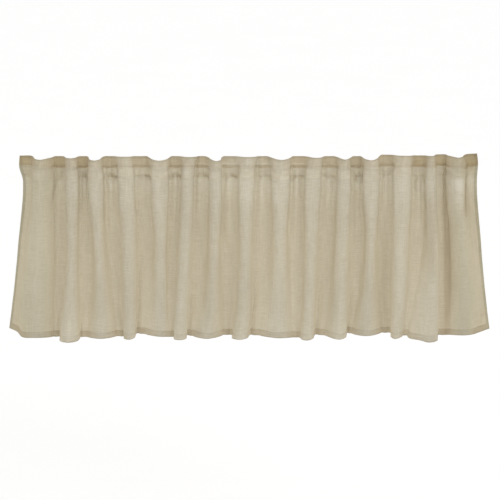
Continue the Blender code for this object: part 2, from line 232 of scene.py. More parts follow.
@dataclass(frozen=True)
class Drape:
    """The form in which the cloth hangs.

    A place along the cloth is counted in half folds: 0 is the first fold's crest, 1 the middle of the hollow
    after it, 2 the next crest and so on. The left edge is half a fold before the first crest.
    """

    drop: float = 500.0
    heights: tuple = (0.0, 56.0, 250.0, 390.0, 500.0)  # top edge, heading's lower seam, middle, low down, hem
    side_heights: tuple = (0.0, 27.0, 74.0, 250.0, 390.0, 500.0)  # of the side edges
    side_hem: float = 8.0
    heading_hem: float = 27.0
    bottom_hem: float = 16.6
    hem_slope: float = 1.2  # the drop over which a hem reaches its full thickness
    tape_foot: float = 56.0
    top_share: float = 0.9  # of a fold's depth at the seam, which the top edge keeps
    ridge_top_share: float = 0.2  # and of a hollow's ridge
    beside_share: float = 0.7  # of the way from a side edge to its fold, where the depth beside it holds
    beside_rise: float = 0.6  # of the edge's rise, which that place keeps
    wall_rise: tuple = (0.7, 0.3)  # shares of the nearer and the further end's rise, in a fold's wall
    wall_foot: float = 0.22  # of a fold's depth, where its wall leaves the hollow
    wall_head: float = 0.72  # and where it turns into the front
    hollow_corner: float = 0.34  # of the way from the wall's foot to the hollow's middle
    lean_power: float = 1.6  # walls change their lean mostly low down
    top_power: float = 1.5  # and leave their places at the top edge soon below it
    curve_steps: int = 14
    spline_power: float = 0.5  # centripetal
    side_hem_end: float = 0.1  # in half folds

    @property
    def halfway(self) -> float:
        """The drop halfway down."""
        return self.drop / 2

    @property
    def last_crest(self) -> float:
        """The place of the last fold's crest, in half folds."""
        return 2.0 * (len(FOLDS) - 1)

    @property
    def edges(self) -> tuple[float, float]:
        """The places of the left and the right edge, in half folds."""
        return -1.0, self.last_crest + 1.0

    @property
    def width(self) -> float:
        """The width of the flat cloth."""
        return float(self.flat(self.edges)[1])

    def between_heights(self, heights: tuple, values: tuple, drop: float) -> float:
        """Reads a row's value at a height, along a smooth curve that never passes its neighbours.

        Args:
            heights: the heights that the row gives its values for.
            values: the value at each of them.
            drop: distance below the top edge.

        Returns:
            The value there.
        """
        known = np.array(values, dtype=float)
        gaps = np.diff(heights)
        slopes = np.diff(known) / gaps
        before, after = slopes[:-1], slopes[1:]
        turning = before * after <= 0
        total = np.where(turning, 1.0, before + after)
        inner = np.where(turning, 0.0, 2 * before * after / total)
        tangents = np.concatenate((slopes[:1], inner, slopes[-1:]))
        i = int(np.clip(np.searchsorted(heights, drop) - 1, 0, len(gaps) - 1))
        t = (drop - heights[i]) / gaps[i]
        ends = (2 * t**3 - 3 * t**2 + 1) * known[i] + (3 * t**2 - 2 * t**3) * known[i + 1]
        bends = (t**3 - 2 * t**2 + t) * tangents[i] + (t**3 - t**2) * tangents[i + 1]
        return float(ends + gaps[i] * bends)

    def table_value(self, values: tuple, drop: float, top_share: float = 1.0) -> float:
        """Reads a value that is given below the top edge only, where it is top_share of its first one."""
        return self.between_heights(self.heights, (values[0] * top_share,) + tuple(values), drop)

    def down_to_hem(self, ends: tuple, drop: float, power: float = 1.0) -> float:
        """Reads a value that is given at the top edge and at the hem."""
        return ends[0] + (ends[1] - ends[0]) * (drop / self.drop) ** power

    def side_points(self, side: Side, neighbour: float, drop: float) -> list:
        """Gives two points of the cloth from a side edge inwards: place, depth and rise.

        Args:
            side: the side edge.
            neighbour: the place of the fold beside it.
            drop: distance below the top edge.

        Returns:
            The edge's point and the one beside it.
        """
        rise = self.down_to_hem(side.rise, drop)
        columns = (side.place, side.depth, side.beside)
        edge, depth, beside = (self.between_heights(self.side_heights, column, drop) for column in columns)
        inner = edge + (neighbour - edge) * self.beside_share
        return [(edge, depth, rise), (inner, beside, rise * self.beside_rise)]

    def wall_places(self, fold: Fold, drop: float) -> list:
        """Places a fold's walls: the left one's foot and head, and the right one's head and foot.

        Args:
            fold: the fold.
            drop: distance below the top edge.

        Returns:
            The four places, from left to right.
        """
        left, right = self.table_value(fold.left, drop), self.table_value(fold.right, drop)
        left_foot = left + self.down_to_hem(fold.left_lean, drop, self.lean_power)
        right_foot = right - self.down_to_hem(fold.right_lean, drop, self.lean_power)
        above = max(0.0, 1 - drop / self.tape_foot) ** self.top_power
        return [low + (top - low) * above for low, top in zip((left_foot, left, right, right_foot), fold.top)]

    def wall(self, head: float, foot: float, depth: float, middle: float, floor: float) -> list:
        """Gives the points of a fold's wall as place and depth: its head, its foot and the hollow's corner.

        Args:
            head: where the wall turns into the fold's front.
            foot: where it leaves the hollow.
            depth: the fold's depth.
            middle: where the middle of the hollow beside it is.
            floor: the depth of the hollow's corner.

        Returns:
            The three points.
        """
        corner = foot + self.hollow_corner * (middle - foot)
        height = depth - floor
        shares = ((head, self.wall_head), (foot, self.wall_foot), (corner, 0.0))
        return [(place, floor + share * height) for place, share in shares]

    def wall_rises(self, fold: float, hollow: float) -> list:
        """Gives the rise at the wall's head, at its foot and at the hollow's corner.

        Args:
            fold: the rise of the fold's crest.
            hollow: the rise of the hollow's middle.

        Returns:
            The three rises.
        """
        near, far = self.wall_rise
        return [near * fold + far * hollow, far * fold + near * hollow, hollow]

    def guide_points(self, drop: float) -> tuple[np.ndarray, list[int]]:
        """Places the points that the cloth passes through at one height.

        Args:
            drop: distance below the top edge.

        Returns:
            The points, as place, depth and rise, and the numbers of those at a crest or a hollow's middle.
        """
        rise = {row: self.down_to_hem(row.rise, drop) for row in FOLDS + HOLLOWS}
        walls = {fold: self.wall_places(fold, drop) for fold in FOLDS}
        points = self.side_points(LEFT_SIDE, walls[FOLDS[0]][1], drop)
        marks = []
        for i, fold in enumerate(FOLDS):
            depth = self.table_value(fold.depth, drop, self.top_share)
            left_foot, left_head, right_head, right_foot = walls[fold]
            if i > 0:
                hollow = HOLLOWS[i - 1]
                floor = self.table_value(hollow.floor, drop) + self.table_value(hollow.climb, drop)
                wall = self.wall(left_head, left_foot, depth, self.table_value(hollow.middle, drop), floor)
                levels = self.wall_rises(rise[fold], rise[hollow])
                points.extend((*point, level) for point, level in zip(reversed(wall), reversed(levels)))
            else:
                points.append((left_head, self.wall_head * depth, rise[fold]))
            marks.append(len(points))
            points.append(((left_head + right_head) / 2, depth, rise[fold]))
            if i < len(HOLLOWS):
                hollow = HOLLOWS[i]
                middle = self.table_value(hollow.middle, drop)
                wall = self.wall(right_head, right_foot, depth, middle, self.table_value(hollow.floor, drop))
                levels = self.wall_rises(rise[fold], rise[hollow])
                points.extend((*point, level) for point, level in zip(wall, levels))
                marks.append(len(points))
                ridge = self.table_value(hollow.ridge, drop, self.ridge_top_share)
                points.append((middle, ridge, rise[hollow]))
            else:
                points.append((right_head, self.wall_head * depth, rise[fold]))
        points.extend(reversed(self.side_points(RIGHT_SIDE, walls[FOLDS[-1]][2], drop)))
        return np.array(points), marks

    def smooth_curve(self, points: np.ndarray) -> np.ndarray:
        """Runs a centripetal Catmull-Rom curve through the points.

        Args:
            points: place, depth and rise of each.

        Returns:
            The points of the curve, curve_steps of them to a stretch.
        """
        ends = np.vstack((2 * points[0] - points[1], points, 2 * points[-1] - points[-2]))
        steps = np.linspace(0.0, 1.0, self.curve_steps, endpoint=False)[:, None]
        curve = []
        for a, b, c, d in zip(ends, ends[1:], ends[2:], ends[3:]):
            spans = [math.hypot(*(q - p)[:2]) ** self.spline_power for p, q in ((a, b), (b, c), (c, d))]
            t0, t1, t2, t3 = np.concatenate(((0.0,), np.cumsum(spans)))
            t = t1 + (t2 - t1) * steps
            ab = (a * (t1 - t) + b * (t - t0)) / (t1 - t0)
            bc = (b * (t2 - t) + c * (t - t1)) / (t2 - t1)
            cd = (c * (t3 - t) + d * (t - t2)) / (t3 - t2)
            abc = (ab * (t2 - t) + bc * (t - t0)) / (t2 - t0)
            bcd = (bc * (t3 - t) + cd * (t - t1)) / (t3 - t1)
            curve.append((abc * (t2 - t) + bcd * (t - t1)) / (t2 - t1))
        return np.vstack(curve + [points[-1:]])

    @cache
    def curve(self, drop: float) -> tuple[np.ndarray, np.ndarray, list[float]]:
        """Works out the whole line of the cloth at one height, once.

        Args:
            drop: distance below the top edge.

        Returns:
            Its points, how far along it each is, and how far the side hems, crests and hollows' middles are.
        """
        points, marks = self.guide_points(drop)
        curve = self.smooth_curve(points)
        steps = np.hypot(*np.diff(curve[:, :2], axis=0).T)
        walked = np.concatenate(((0.0,), np.cumsum(steps)))
        stops = [walked[mark * self.curve_steps] for mark in marks]
        return curve, walked, [0.0, self.side_hem, *stops, walked[-1] - self.side_hem, walked[-1]]

    def line(self, drop: float, halves: np.ndarray) -> tuple[np.ndarray, np.ndarray]:
        """Follows the cloth across at one height.

        Args:
            drop: distance below the top edge.
            halves: places along the cloth, in half folds.

        Returns:
            Place, depth and height of each, and how far along the cloth it is from the left edge.
        """
        curve, walked, stops = self.curve(float(drop))
        left, right = self.edges
        known = [left, left + self.side_hem_end, *range(len(stops) - 4), right - self.side_hem_end, right]
        wanted = np.interp(halves, known, stops)
        line = np.column_stack([np.interp(wanted, walked, curve[:, k]) for k in range(3)])
        line[:, 2] -= drop
        return line, wanted

    def flat(self, halves: np.ndarray) -> np.ndarray:
        """Tells how far along the cloth each place is, measured halfway down."""
        return self.line(self.halfway, np.asarray(halves, dtype=float))[1]


@dataclass(frozen=True)
class Handling:
    """The small shapes in the cloth that its folds leave out: creases, puffs, ripples and drawn stitches."""

    drape: Drape
    dent_width: float = 4.0
    crease_end: float = 0.6  # below 1, a crease stays full for more of its length
    full_trough: float = 2.6  # the depth at which a trough is marked in full
    full_puff: float = 2.2  # the height at which a puff is marked in full
    puff_opening: float = 16.0  # the drop over which a puff opens
    puff_start: float = 1e-4  # the share of it that a puff's top has
    puff_spread: float = 0.1  # how much wider it is after each such drop
    puff_spread_end: float = 6.0  # the number of them that widen it
    puff_swell: float = 0.7  # below 1, it comes forward sooner
    ripples: int = 110
    ripple_height: float = 0.55
    ripple_sizes: tuple = (3.5, 7.0)
    ripple_reaches: tuple = (25.0, 90.0)  # below the heading's lower seam
    ripple_above: float = 9.0  # the reach above it
    ripple_slant: float = 0.06
    waves: int = 9
    wave_height: float = 0.5
    waves_across: tuple = (60.0, 190.0)
    waves_down: tuple = (90.0, 320.0)
    wave_start: float = 60.0  # the drop over which they grow to their full height
    wave_held: float = 0.15  # the share of it that they have in the heading
    stitch_pull: float = 0.35
    pull_width: float = 1.6

    def height(self, flat: np.ndarray, drops: np.ndarray) -> np.ndarray:
        """Adds up how far each point of the cloth stands forward of its folds.

        Args:
            flat: distance along the cloth of each row and column.
            drops: distance below the top edge of each.

        Returns:
            The heights, in the same rows and columns.
        """
        total = self.creases(flat, drops) + self.ripple(flat, drops) + self.wave(flat, drops)
        return total + self.puffs(flat, drops) - self.pull(flat, drops)

    def puffs(self, flat: np.ndarray, drops: np.ndarray) -> np.ndarray:
        """Adds up the arches under the heading."""
        return sum(self.puff(puff, flat, drops) for puff in PUFFS)

    def puffed(self, flat: np.ndarray, drops: np.ndarray) -> np.ndarray:
        """Tells how far forward each point stands in a puff, from 0 to 1."""
        return np.clip(self.puffs(flat, drops) / self.full_puff, 0.0, 1.0)

    def creases(self, flat: np.ndarray, drops: np.ndarray) -> np.ndarray:
        """Adds up the creases and the dents beside the puffs.

        Args:
            flat: distance along the cloth of each row and column.
            drops: distance below the top edge of each.

        Returns:
            The heights, in the same rows and columns.
        """
        total = np.zeros_like(flat)
        for crease in CREASES:
            halves, downs = zip(crease.start, crease.end)
            start, end = zip(self.drape.flat(halves), downs)
            total += self.groove(flat, drops, start, end, crease.height, crease.width)
        for puff in PUFFS:
            middle = self.drape.flat((puff.middle,))[0]
            for way, dent in ((-1, puff.left), (1, puff.right)):
                start, end = ((middle + way * across, down) for across, down in (dent.near, dent.far))
                total += self.groove(flat, drops, start, end, -dent.depth, self.dent_width)
        return total

    def troughs(self, flat: np.ndarray, drops: np.ndarray) -> np.ndarray:
        """Tells how deep each point lies in a crease, from 0 to 1."""
        return np.clip(-self.creases(flat, drops) / self.full_trough, 0.0, 1.0)

    def groove(
        self, flat: np.ndarray, drops: np.ndarray, start: tuple, end: tuple, height: float, width: float
    ) -> np.ndarray:
        """Gives a soft ridge or trough along a straight line, fullest in the middle of its length.

        Args:
            flat: distance along the cloth of each row and column.
            drops: distance below the top edge of each.
            start: where the line starts, along the cloth and below the top edge.
            end: where it ends.
            height: how far it stands forward.
            width: half its width.

        Returns:
            The heights, in the same rows and columns.
        """
        way = (end[0] - start[0], end[1] - start[1])
        length = math.hypot(*way)
        across = ((flat - start[0]) * way[1] - (drops - start[1]) * way[0]) / length
        along = ((flat - start[0]) * way[0] + (drops - start[1]) * way[1]) / length**2
        fade = np.sin(np.pi * np.clip(along, 0.0, 1.0)) ** self.crease_end
        return height * np.exp(-((across / width) ** 2)) * fade

    def puff(self, puff: Puff, flat: np.ndarray, drops: np.ndarray) -> np.ndarray:
        """Gives one arch: narrow at its top, full a little lower, then dying away.

        Args:
            puff: the arch.
            flat: distance along the cloth of each row and column.
            drops: distance below the top edge of each.

        Returns:
            The heights, in the same rows and columns.
        """
        below = (drops - puff.top) / self.puff_opening
        spread = 1 + self.puff_spread * np.clip(below, 0, self.puff_spread_end)
        width = puff.width * np.sqrt(np.clip(below, self.puff_start, 1.0)) * spread
        across = (flat - self.drape.flat((puff.middle,))[0]) / width
        body = np.cos(np.clip(across, -1.0, 1.0) * np.pi / 2) ** 2
        past = np.clip(below - 1.0, 0.0, None) * self.puff_opening
        swell = np.clip(below, 0.0, 1.0) ** self.puff_swell * np.exp(-past / puff.fade)
        return puff.height * body * swell

    def ripple(self, flat: np.ndarray, drops: np.ndarray) -> np.ndarray:
        """Gives the fine gathers that run down from the heading's lower seam.

        Args:
            flat: distance along the cloth of each row and column.
            drops: distance below the top edge of each.

        Returns:
            The heights, in the same rows and columns.
        """
        rng = np.random.default_rng(SEED)
        total = np.zeros_like(flat)
        below = drops - self.drape.tape_foot
        width = self.drape.width
        for _ in range(self.ripples):
            middle = rng.uniform(0.0, width)
            size = rng.uniform(*self.ripple_sizes)
            reach = rng.uniform(*self.ripple_reaches)
            height = rng.uniform(-1.0, 1.0) * self.ripple_height
            slant = rng.uniform(-self.ripple_slant, self.ripple_slant)
            fade = np.exp(-np.abs(below) / np.where(below > 0, reach, self.ripple_above))
            total += height * np.exp(-(((flat - middle - slant * below) / size) ** 2)) * fade
        return total

    def wave(self, flat: np.ndarray, drops: np.ndarray) -> np.ndarray:
        """Gives the slow unevenness of cloth that has hung for a while.

        Args:
            flat: distance along the cloth of each row and column.
            drops: distance below the top edge of each.

        Returns:
            The heights, in the same rows and columns.
        """
        rng = np.random.default_rng(SEED + 1)
        total = np.zeros_like(flat)
        for _ in range(self.waves):
            across = rng.uniform(*self.waves_across)
            down = rng.uniform(*self.waves_down)
            total += np.sin(2 * np.pi * (flat / across + drops / down) + rng.uniform(0.0, 2 * np.pi))
        free = np.clip((drops - self.drape.tape_foot) / self.wave_start, self.wave_held, 1.0)
        return total * free * self.wave_height / math.sqrt(self.waves)

    def pull(self, flat: np.ndarray, drops: np.ndarray) -> np.ndarray:
        """Gives how far each row of stitches draws the cloth in.

        Args:
            flat: distance along the cloth of each row and column.
            drops: distance below the top edge of each.

        Returns:
            The depths, in the same rows and columns.
        """
        total = np.zeros_like(flat)
        for seam in SEAMS:
            if seam.edge is Edge.TOP:
                total += np.exp(-(((drops - seam.inset) / self.pull_width) ** 2))
        return total * self.stitch_pull


class Face(Enum):
    """The side of the cloth that something lies on."""

    FRONT = 0.0
    BACK = 1.0


class Edge(Enum):
    """The edge of the cloth that a row of stitches runs along."""

    TOP = "top"
    LEFT = "left"
    RIGHT = "right"


class Seam(NamedTuple):
    """A row of stitches, at a distance from an edge."""

    edge: Edge
    inset: float


SEAMS = (
    Seam(Edge.TOP, 25.6),
    Seam(Edge.TOP, 30.0),
    Seam(Edge.TOP, 54.6),
    Seam(Edge.TOP, 484.8),
    Seam(Edge.LEFT, 6.6),
    Seam(Edge.RIGHT, 6.6),
)


@dataclass(frozen=True)
class Cloth:
    """The cloth's front surface, sampled in rows and columns."""

    drape: Drape
    handling: Handling
    lean_out: float = 0.25  # of the depth at the top edge
    full_droop: float = 14.0
    least_depth: float = 1.0  # of a hollow
    shallow: float = 42.0  # depth of the folds that lie back
    forward: float = 26.0  # how much further the deepest stand forward

    def front(self, drops: np.ndarray, halves: np.ndarray) -> tuple[np.ndarray, np.ndarray]:
        """Samples the cloth's front.

        Args:
            drops: the rows, as distances below the top edge.
            halves: the columns, in half folds.

        Returns:
            The points and the way from the front to the back at each, both by row and column.
        """
        points = np.array([self.drape.line(drop, halves)[0] for drop in drops])
        points = points * (1.0, -1.0, 1.0)
        flat = self.flat(drops, halves)
        points = points - self.way_back(points) * self.handling.height(*np.moveaxis(flat, -1, 0))[..., None]
        return points, self.way_back(points)

    def flat(self, drops: np.ndarray, halves: np.ndarray) -> np.ndarray:
        """Gives the place of each row and column in the uncut cloth, across and down."""
        return np.stack(np.meshgrid(self.drape.flat(halves), drops), axis=-1)

    def hollows(self, drops: np.ndarray, halves: np.ndarray) -> np.ndarray:
        """Tells how deep each point lies between two folds, from 0 on a crest to 1 in the hollow's middle.

        Args:
            drops: the rows, as distances below the top edge.
            halves: the columns, in half folds.

        Returns:
            The mark, by row and column.
        """
        rows = []
        for drop in drops:
            depth = self.drape.line(drop, halves)[0][:, 1]
            turns = np.arange(self.drape.last_crest + 1)
            at_turns = self.drape.line(drop, turns)[0][:, 1]
            crests = np.interp(halves, turns[::2], at_turns[::2])
            floors = np.interp(halves, turns[1::2], at_turns[1::2])
            rows.append(np.clip((crests - depth) / np.maximum(crests - floors, self.least_depth), 0.0, 1.0))
        return np.array(rows)

    def droops(self, drops: np.ndarray, halves: np.ndarray) -> np.ndarray:
        """Tells how far the turned heading leans out over each fold, which draws its seam up, from 0 to 1.

        Args:
            drops: the rows, as distances below the top edge.
            halves: the columns, in half folds.

        Returns:
            The mark, by row and column.
        """
        top = self.drape.line(0.0, halves)[0]
        droop = np.clip((top[:, 1] * self.lean_out - top[:, 2]) / self.full_droop, 0.0, 1.0)
        return np.tile(droop, (len(drops), 1))

    def forwards(self, points: np.ndarray) -> np.ndarray:
        """Tells how far forward the cloth stands, from 0 on a shallow fold to 1 on the deepest."""
        return np.clip((-points[..., 1] - self.shallow) / self.forward, 0.0, 1.0)

    @staticmethod
    def walls(ways: np.ndarray) -> np.ndarray:
        """Tells how far the cloth turns away from the room, from 0 facing it to 1 at right angles."""
        return 1.0 - np.clip(ways[..., 1], 0.0, 1.0)

    @staticmethod
    def way_back(points: np.ndarray) -> np.ndarray:
        """Gives the unit direction from the front to the back at each point.

        Args:
            points: the cloth's points, by row and column.

        Returns:
            The directions, by row and column.
        """
        across = np.gradient(points, axis=1)
        down = np.gradient(points, axis=0)
        way = np.cross(across, down)
        return way / np.linalg.norm(way, axis=-1, keepdims=True)


class Mark(Enum):
    """What the finish reads at each point of the cloth, from 0 to 1."""

    HOLLOW = "hollow"
    WALL = "wall"
    TROUGH = "trough"
    FORWARD = "forward"
    DROOP = "droop"
    PUFF = "puff"


@dataclass(frozen=True)
class ClosedSheet:
    """A thin closed sheet with rounded edges, laid on rows and columns of points."""

    name: str
    front: np.ndarray
    back: np.ndarray
    flat: np.ndarray  # the place of each point in the uncut cloth, across and down
    marks: dict[Mark, np.ndarray] = field(default_factory=dict)

    def outward(self) -> np.ndarray:
        """Gives the direction that an edge point faces, and nothing inside the sheet.

        Returns:
            The directions, by row and column.
        """
        across = np.gradient(self.front, axis=1)
        down = np.gradient(self.front, axis=0)
        out = np.zeros_like(self.front)
        out[0] -= down[0] / np.linalg.norm(down[0], axis=-1, keepdims=True)
        out[-1] += down[-1] / np.linalg.norm(down[-1], axis=-1, keepdims=True)
        out[:, 0] -= across[:, 0] / np.linalg.norm(across[:, 0], axis=-1, keepdims=True)
        out[:, -1] += across[:, -1] / np.linalg.norm(across[:, -1], axis=-1, keepdims=True)
        return out

    def mesh(self) -> bpy.types.Mesh:
        """Builds the sheet from a grid, and lays its points in place.

        Returns:
            The mesh, with a UV map named cloth in metres.
        """
        down, across = (size - 1 for size in self.front.shape[:2])
        bm = bmesh.new()
        bmesh.ops.create_grid(bm, x_segments=across, y_segments=down, size=0.5)
        grown = bmesh.ops.extrude_face_region(bm, geom=bm.faces[:])["geom"]
        behind = [part for part in grown if isinstance(part, bmesh.types.BMVert)]
        bmesh.ops.translate(bm, verts=behind, vec=(0.0, 0.0, -1.0))
        bmesh.ops.recalc_face_normals(bm, faces=bm.faces[:])
        rim = [edge for edge in bm.edges if abs(edge.verts[0].co.z - edge.verts[1].co.z) > 0.5]
        bmesh.ops.subdivide_edges(bm, edges=rim, cuts=1)
        mesh = bpy.data.meshes.new(self.name)
        bm.to_mesh(mesh)
        bm.free()
        count = len(mesh.vertices)
        places = np.empty(3 * count)
        mesh.vertices.foreach_get("co", places)
        x, y, z = places.reshape(count, 3).T
        column = np.rint((x + 0.5) * across).astype(int)
        row = np.rint((0.5 - y) * down).astype(int)
        share = -z[:, None]
        front, back = self.front[row, column], self.back[row, column]
        thick = np.linalg.norm(back - front, axis=-1, keepdims=True)
        bulge = self.outward()[row, column] * thick * 2 * share * (1 - share)
        placed = front + (back - front) * share + bulge
        mesh.vertices.foreach_set("co", (placed * MM).ravel())
        corners = np.empty(len(mesh.loops), dtype=np.int32)
        mesh.loops.foreach_get("vertex_index", corners)
        flat = self.flat[row, column][corners] * MM
        mesh.uv_layers.new(name="cloth").data.foreach_set("uv", flat.ravel())
        for mark, values in self.marks.items():
            mesh.attributes.new(mark.value, "FLOAT", "POINT").data.foreach_set("value", values[row, column])
        mesh.shade_smooth()
        mesh.update()
        return mesh


class Blend(Enum):
    """The ways in which two colours are put together."""

    MIX = "MIX"
    MULTIPLY = "MULTIPLY"


class Value:
    """A number or a colour in a material's nodes. Python's arithmetic on it adds Math nodes."""

    def __init__(self, bench: "Bench", socket: bpy.types.NodeSocket) -> None:
        """Keeps the socket and the bench that it is on."""
        self.bench = bench
        self.socket = socket

    def math(self, operation: str, *values: "Value | float") -> "Value":
        """Adds a Math node on the values."""
        return self.bench.add("ShaderNodeMath", {"operation": operation}, dict(enumerate(values)))

    def __add__(self, other: "Value | float") -> "Value":
        """Adds."""
        return self.math("ADD", self, other)

    def __sub__(self, other: "Value | float") -> "Value":
        """Takes away."""
        return self.math("SUBTRACT", self, other)

    def __mul__(self, other: "Value | float") -> "Value":
        """Multiplies."""
        return self.math("MULTIPLY", self, other)

    def __truediv__(self, other: "Value | float") -> "Value":
        """Divides."""
        return self.math("DIVIDE", self, other)

    def __rsub__(self, other: float) -> "Value":
        """Takes this value away from a number."""
        return self.math("SUBTRACT", other, self)

    __radd__ = __add__
    __rmul__ = __mul__

    def sine(self) -> "Value":
        """Gives the sine."""
        return self.math("SINE", self)

    def clamp(self) -> "Value":
        """Keeps the value from 0 to 1."""
        return self.math("MINIMUM", self.math("MAXIMUM", self, 0.0), 1.0)

    def rising(self, start: float, end: float) -> "Value":
        """Gives a soft step from 0 at start to 1 at end."""
        sockets = {"Value": self, "From Min": start, "From Max": end}
        return self.bench.add("ShaderNodeMapRange", {"interpolation_type": "SMOOTHSTEP"}, sockets)

    def between(self, low: float, high: float) -> "Value":
        """Gives low where this value is 0, and high where it is 1."""
        return low + self * (high - low)

    def band(self, start: float, end: float, soft: float) -> "Value":
        """Gives 1 from start to end, and 0 outside, with soft edges."""
        half = soft / 2
        return self.rising(start - half, start + half) - self.rising(end - half, end + half)


class Bench:
    """The node tree of one material."""

    def __init__(self, name: str) -> None:
        """Makes an empty material."""
        self.material = bpy.data.materials.new(name)
        self.material.use_nodes = True
        self.nodes = self.material.node_tree.nodes
        self.nodes.clear()

    def add(self, kind: str, settings: dict, sockets: dict, output: int | str = 0) -> Value:
        """Adds one node.

        Args:
            kind: the node's type.
            settings: its settings, which are made first.
            sockets: values or links, by the socket's name or number.
            output: the output that is wanted.

        Returns:
            That output.
        """
        node = self.nodes.new(kind)
        for name, setting in settings.items():
            setattr(node, name, setting)
        for key, value in sockets.items():
            if isinstance(value, Value):
                self.material.node_tree.links.new(value.socket, node.inputs[key])
            else:
                node.inputs[key].default_value = value
        return Value(self, node.outputs[output] if node.outputs else None)

    def cloth_place(self) -> tuple[Value, Value]:
        """Gives the place across and down the uncut cloth, in millimetres.

        Returns:
            Both places.
        """
        place = self.add("ShaderNodeUVMap", {"uv_map": "cloth"}, {})
        across = self.add("ShaderNodeSeparateXYZ", {}, {0: place}, "X")
        down = self.add("ShaderNodeSeparateXYZ", {}, {0: place}, "Y")
        return across / MM, down / MM

    def mark(self, mark: Mark) -> Value:
        """Reads one of the marks on the cloth."""
        return self.add("ShaderNodeAttribute", {"attribute_name": mark.value}, {}, "Fac")

    def noise(self, across: Value, down: Value, size: tuple[float, float], detail: float = 2.0) -> Value:
        """Gives noise from -0.5 to 0.5 with features of one size across and another down, in millimetres.

        Args:
            across: the place across the cloth.
            down: the place down it.
            size: the features' size across and down.
            detail: how many finer layers it has.

        Returns:
            The noise.
        """
        vector = self.add("ShaderNodeCombineXYZ", {}, {"X": across / size[0], "Y": down / size[1]})
        sockets = {"Vector": vector, "Scale": 1.0, "Detail": detail, "Roughness": 0.6}
        return self.add("ShaderNodeTexNoise", {"noise_dimensions": "2D"}, sockets) - 0.5

    def blend(self, kind: Blend, factor: Value | float, first: Value | tuple, second: Value | tuple) -> Value:
        """Puts two colours together."""
        settings = {"data_type": "RGBA", "blend_type": kind.value}
        return self.add("ShaderNodeMix", settings, {0: factor, 6: first, 7: second}, 2)

    def bump(self, height: Value, distance: float, strength: float) -> Value:
        """Turns a height into a normal."""
        sockets = {"Height": height, "Distance": distance, "Strength": strength}
        return self.add("ShaderNodeBump", {}, sockets)

    def object_noise(self, scale: float, detail: float = 2.0) -> Value:
        """Gives noise from 0 to 1 over the places in the object."""
        place = self.add("ShaderNodeTexCoord", {}, {}, "Object")
        return self.add("ShaderNodeTexNoise", {}, {"Vector": place, "Scale": scale, "Detail": detail})

    def output(self, surface: Value) -> bpy.types.Material:
        """Ends the tree with its surface."""
        self.add("ShaderNodeOutputMaterial", {}, {"Surface": surface})
        return self.material

    def plain(self, sockets: dict) -> bpy.types.Material:
        """Ends the tree with a plain surface."""
        return self.output(self.add("ShaderNodeBsdfPrincipled", {}, sockets))

    def sheer_cloth(
        self, sockets: dict, normal: Value, through: tuple, sheer: Value | float
    ) -> bpy.types.Material:
        """Ends the tree with cloth that light comes through.

        Args:
            sockets: what the cloth's own shader holds, but for its normal.
            normal: the cloth's normal.
            through: the colour of the light that comes through.
            sheer: the share of that light.

        Returns:
            The material.
        """
        cloth = self.add("ShaderNodeBsdfPrincipled", {}, {**sockets, "Normal": normal})
        light = self.add("ShaderNodeBsdfTranslucent", {}, {"Color": through, "Normal": normal})
        return self.output(self.add("ShaderNodeMixShader", {}, {0: sheer, 1: cloth, 2: light}))


class Slub(NamedTuple):
    """One noise in the linen's tone: its size across and down, its detail and its share."""

    size: tuple
    detail: float
    share: float


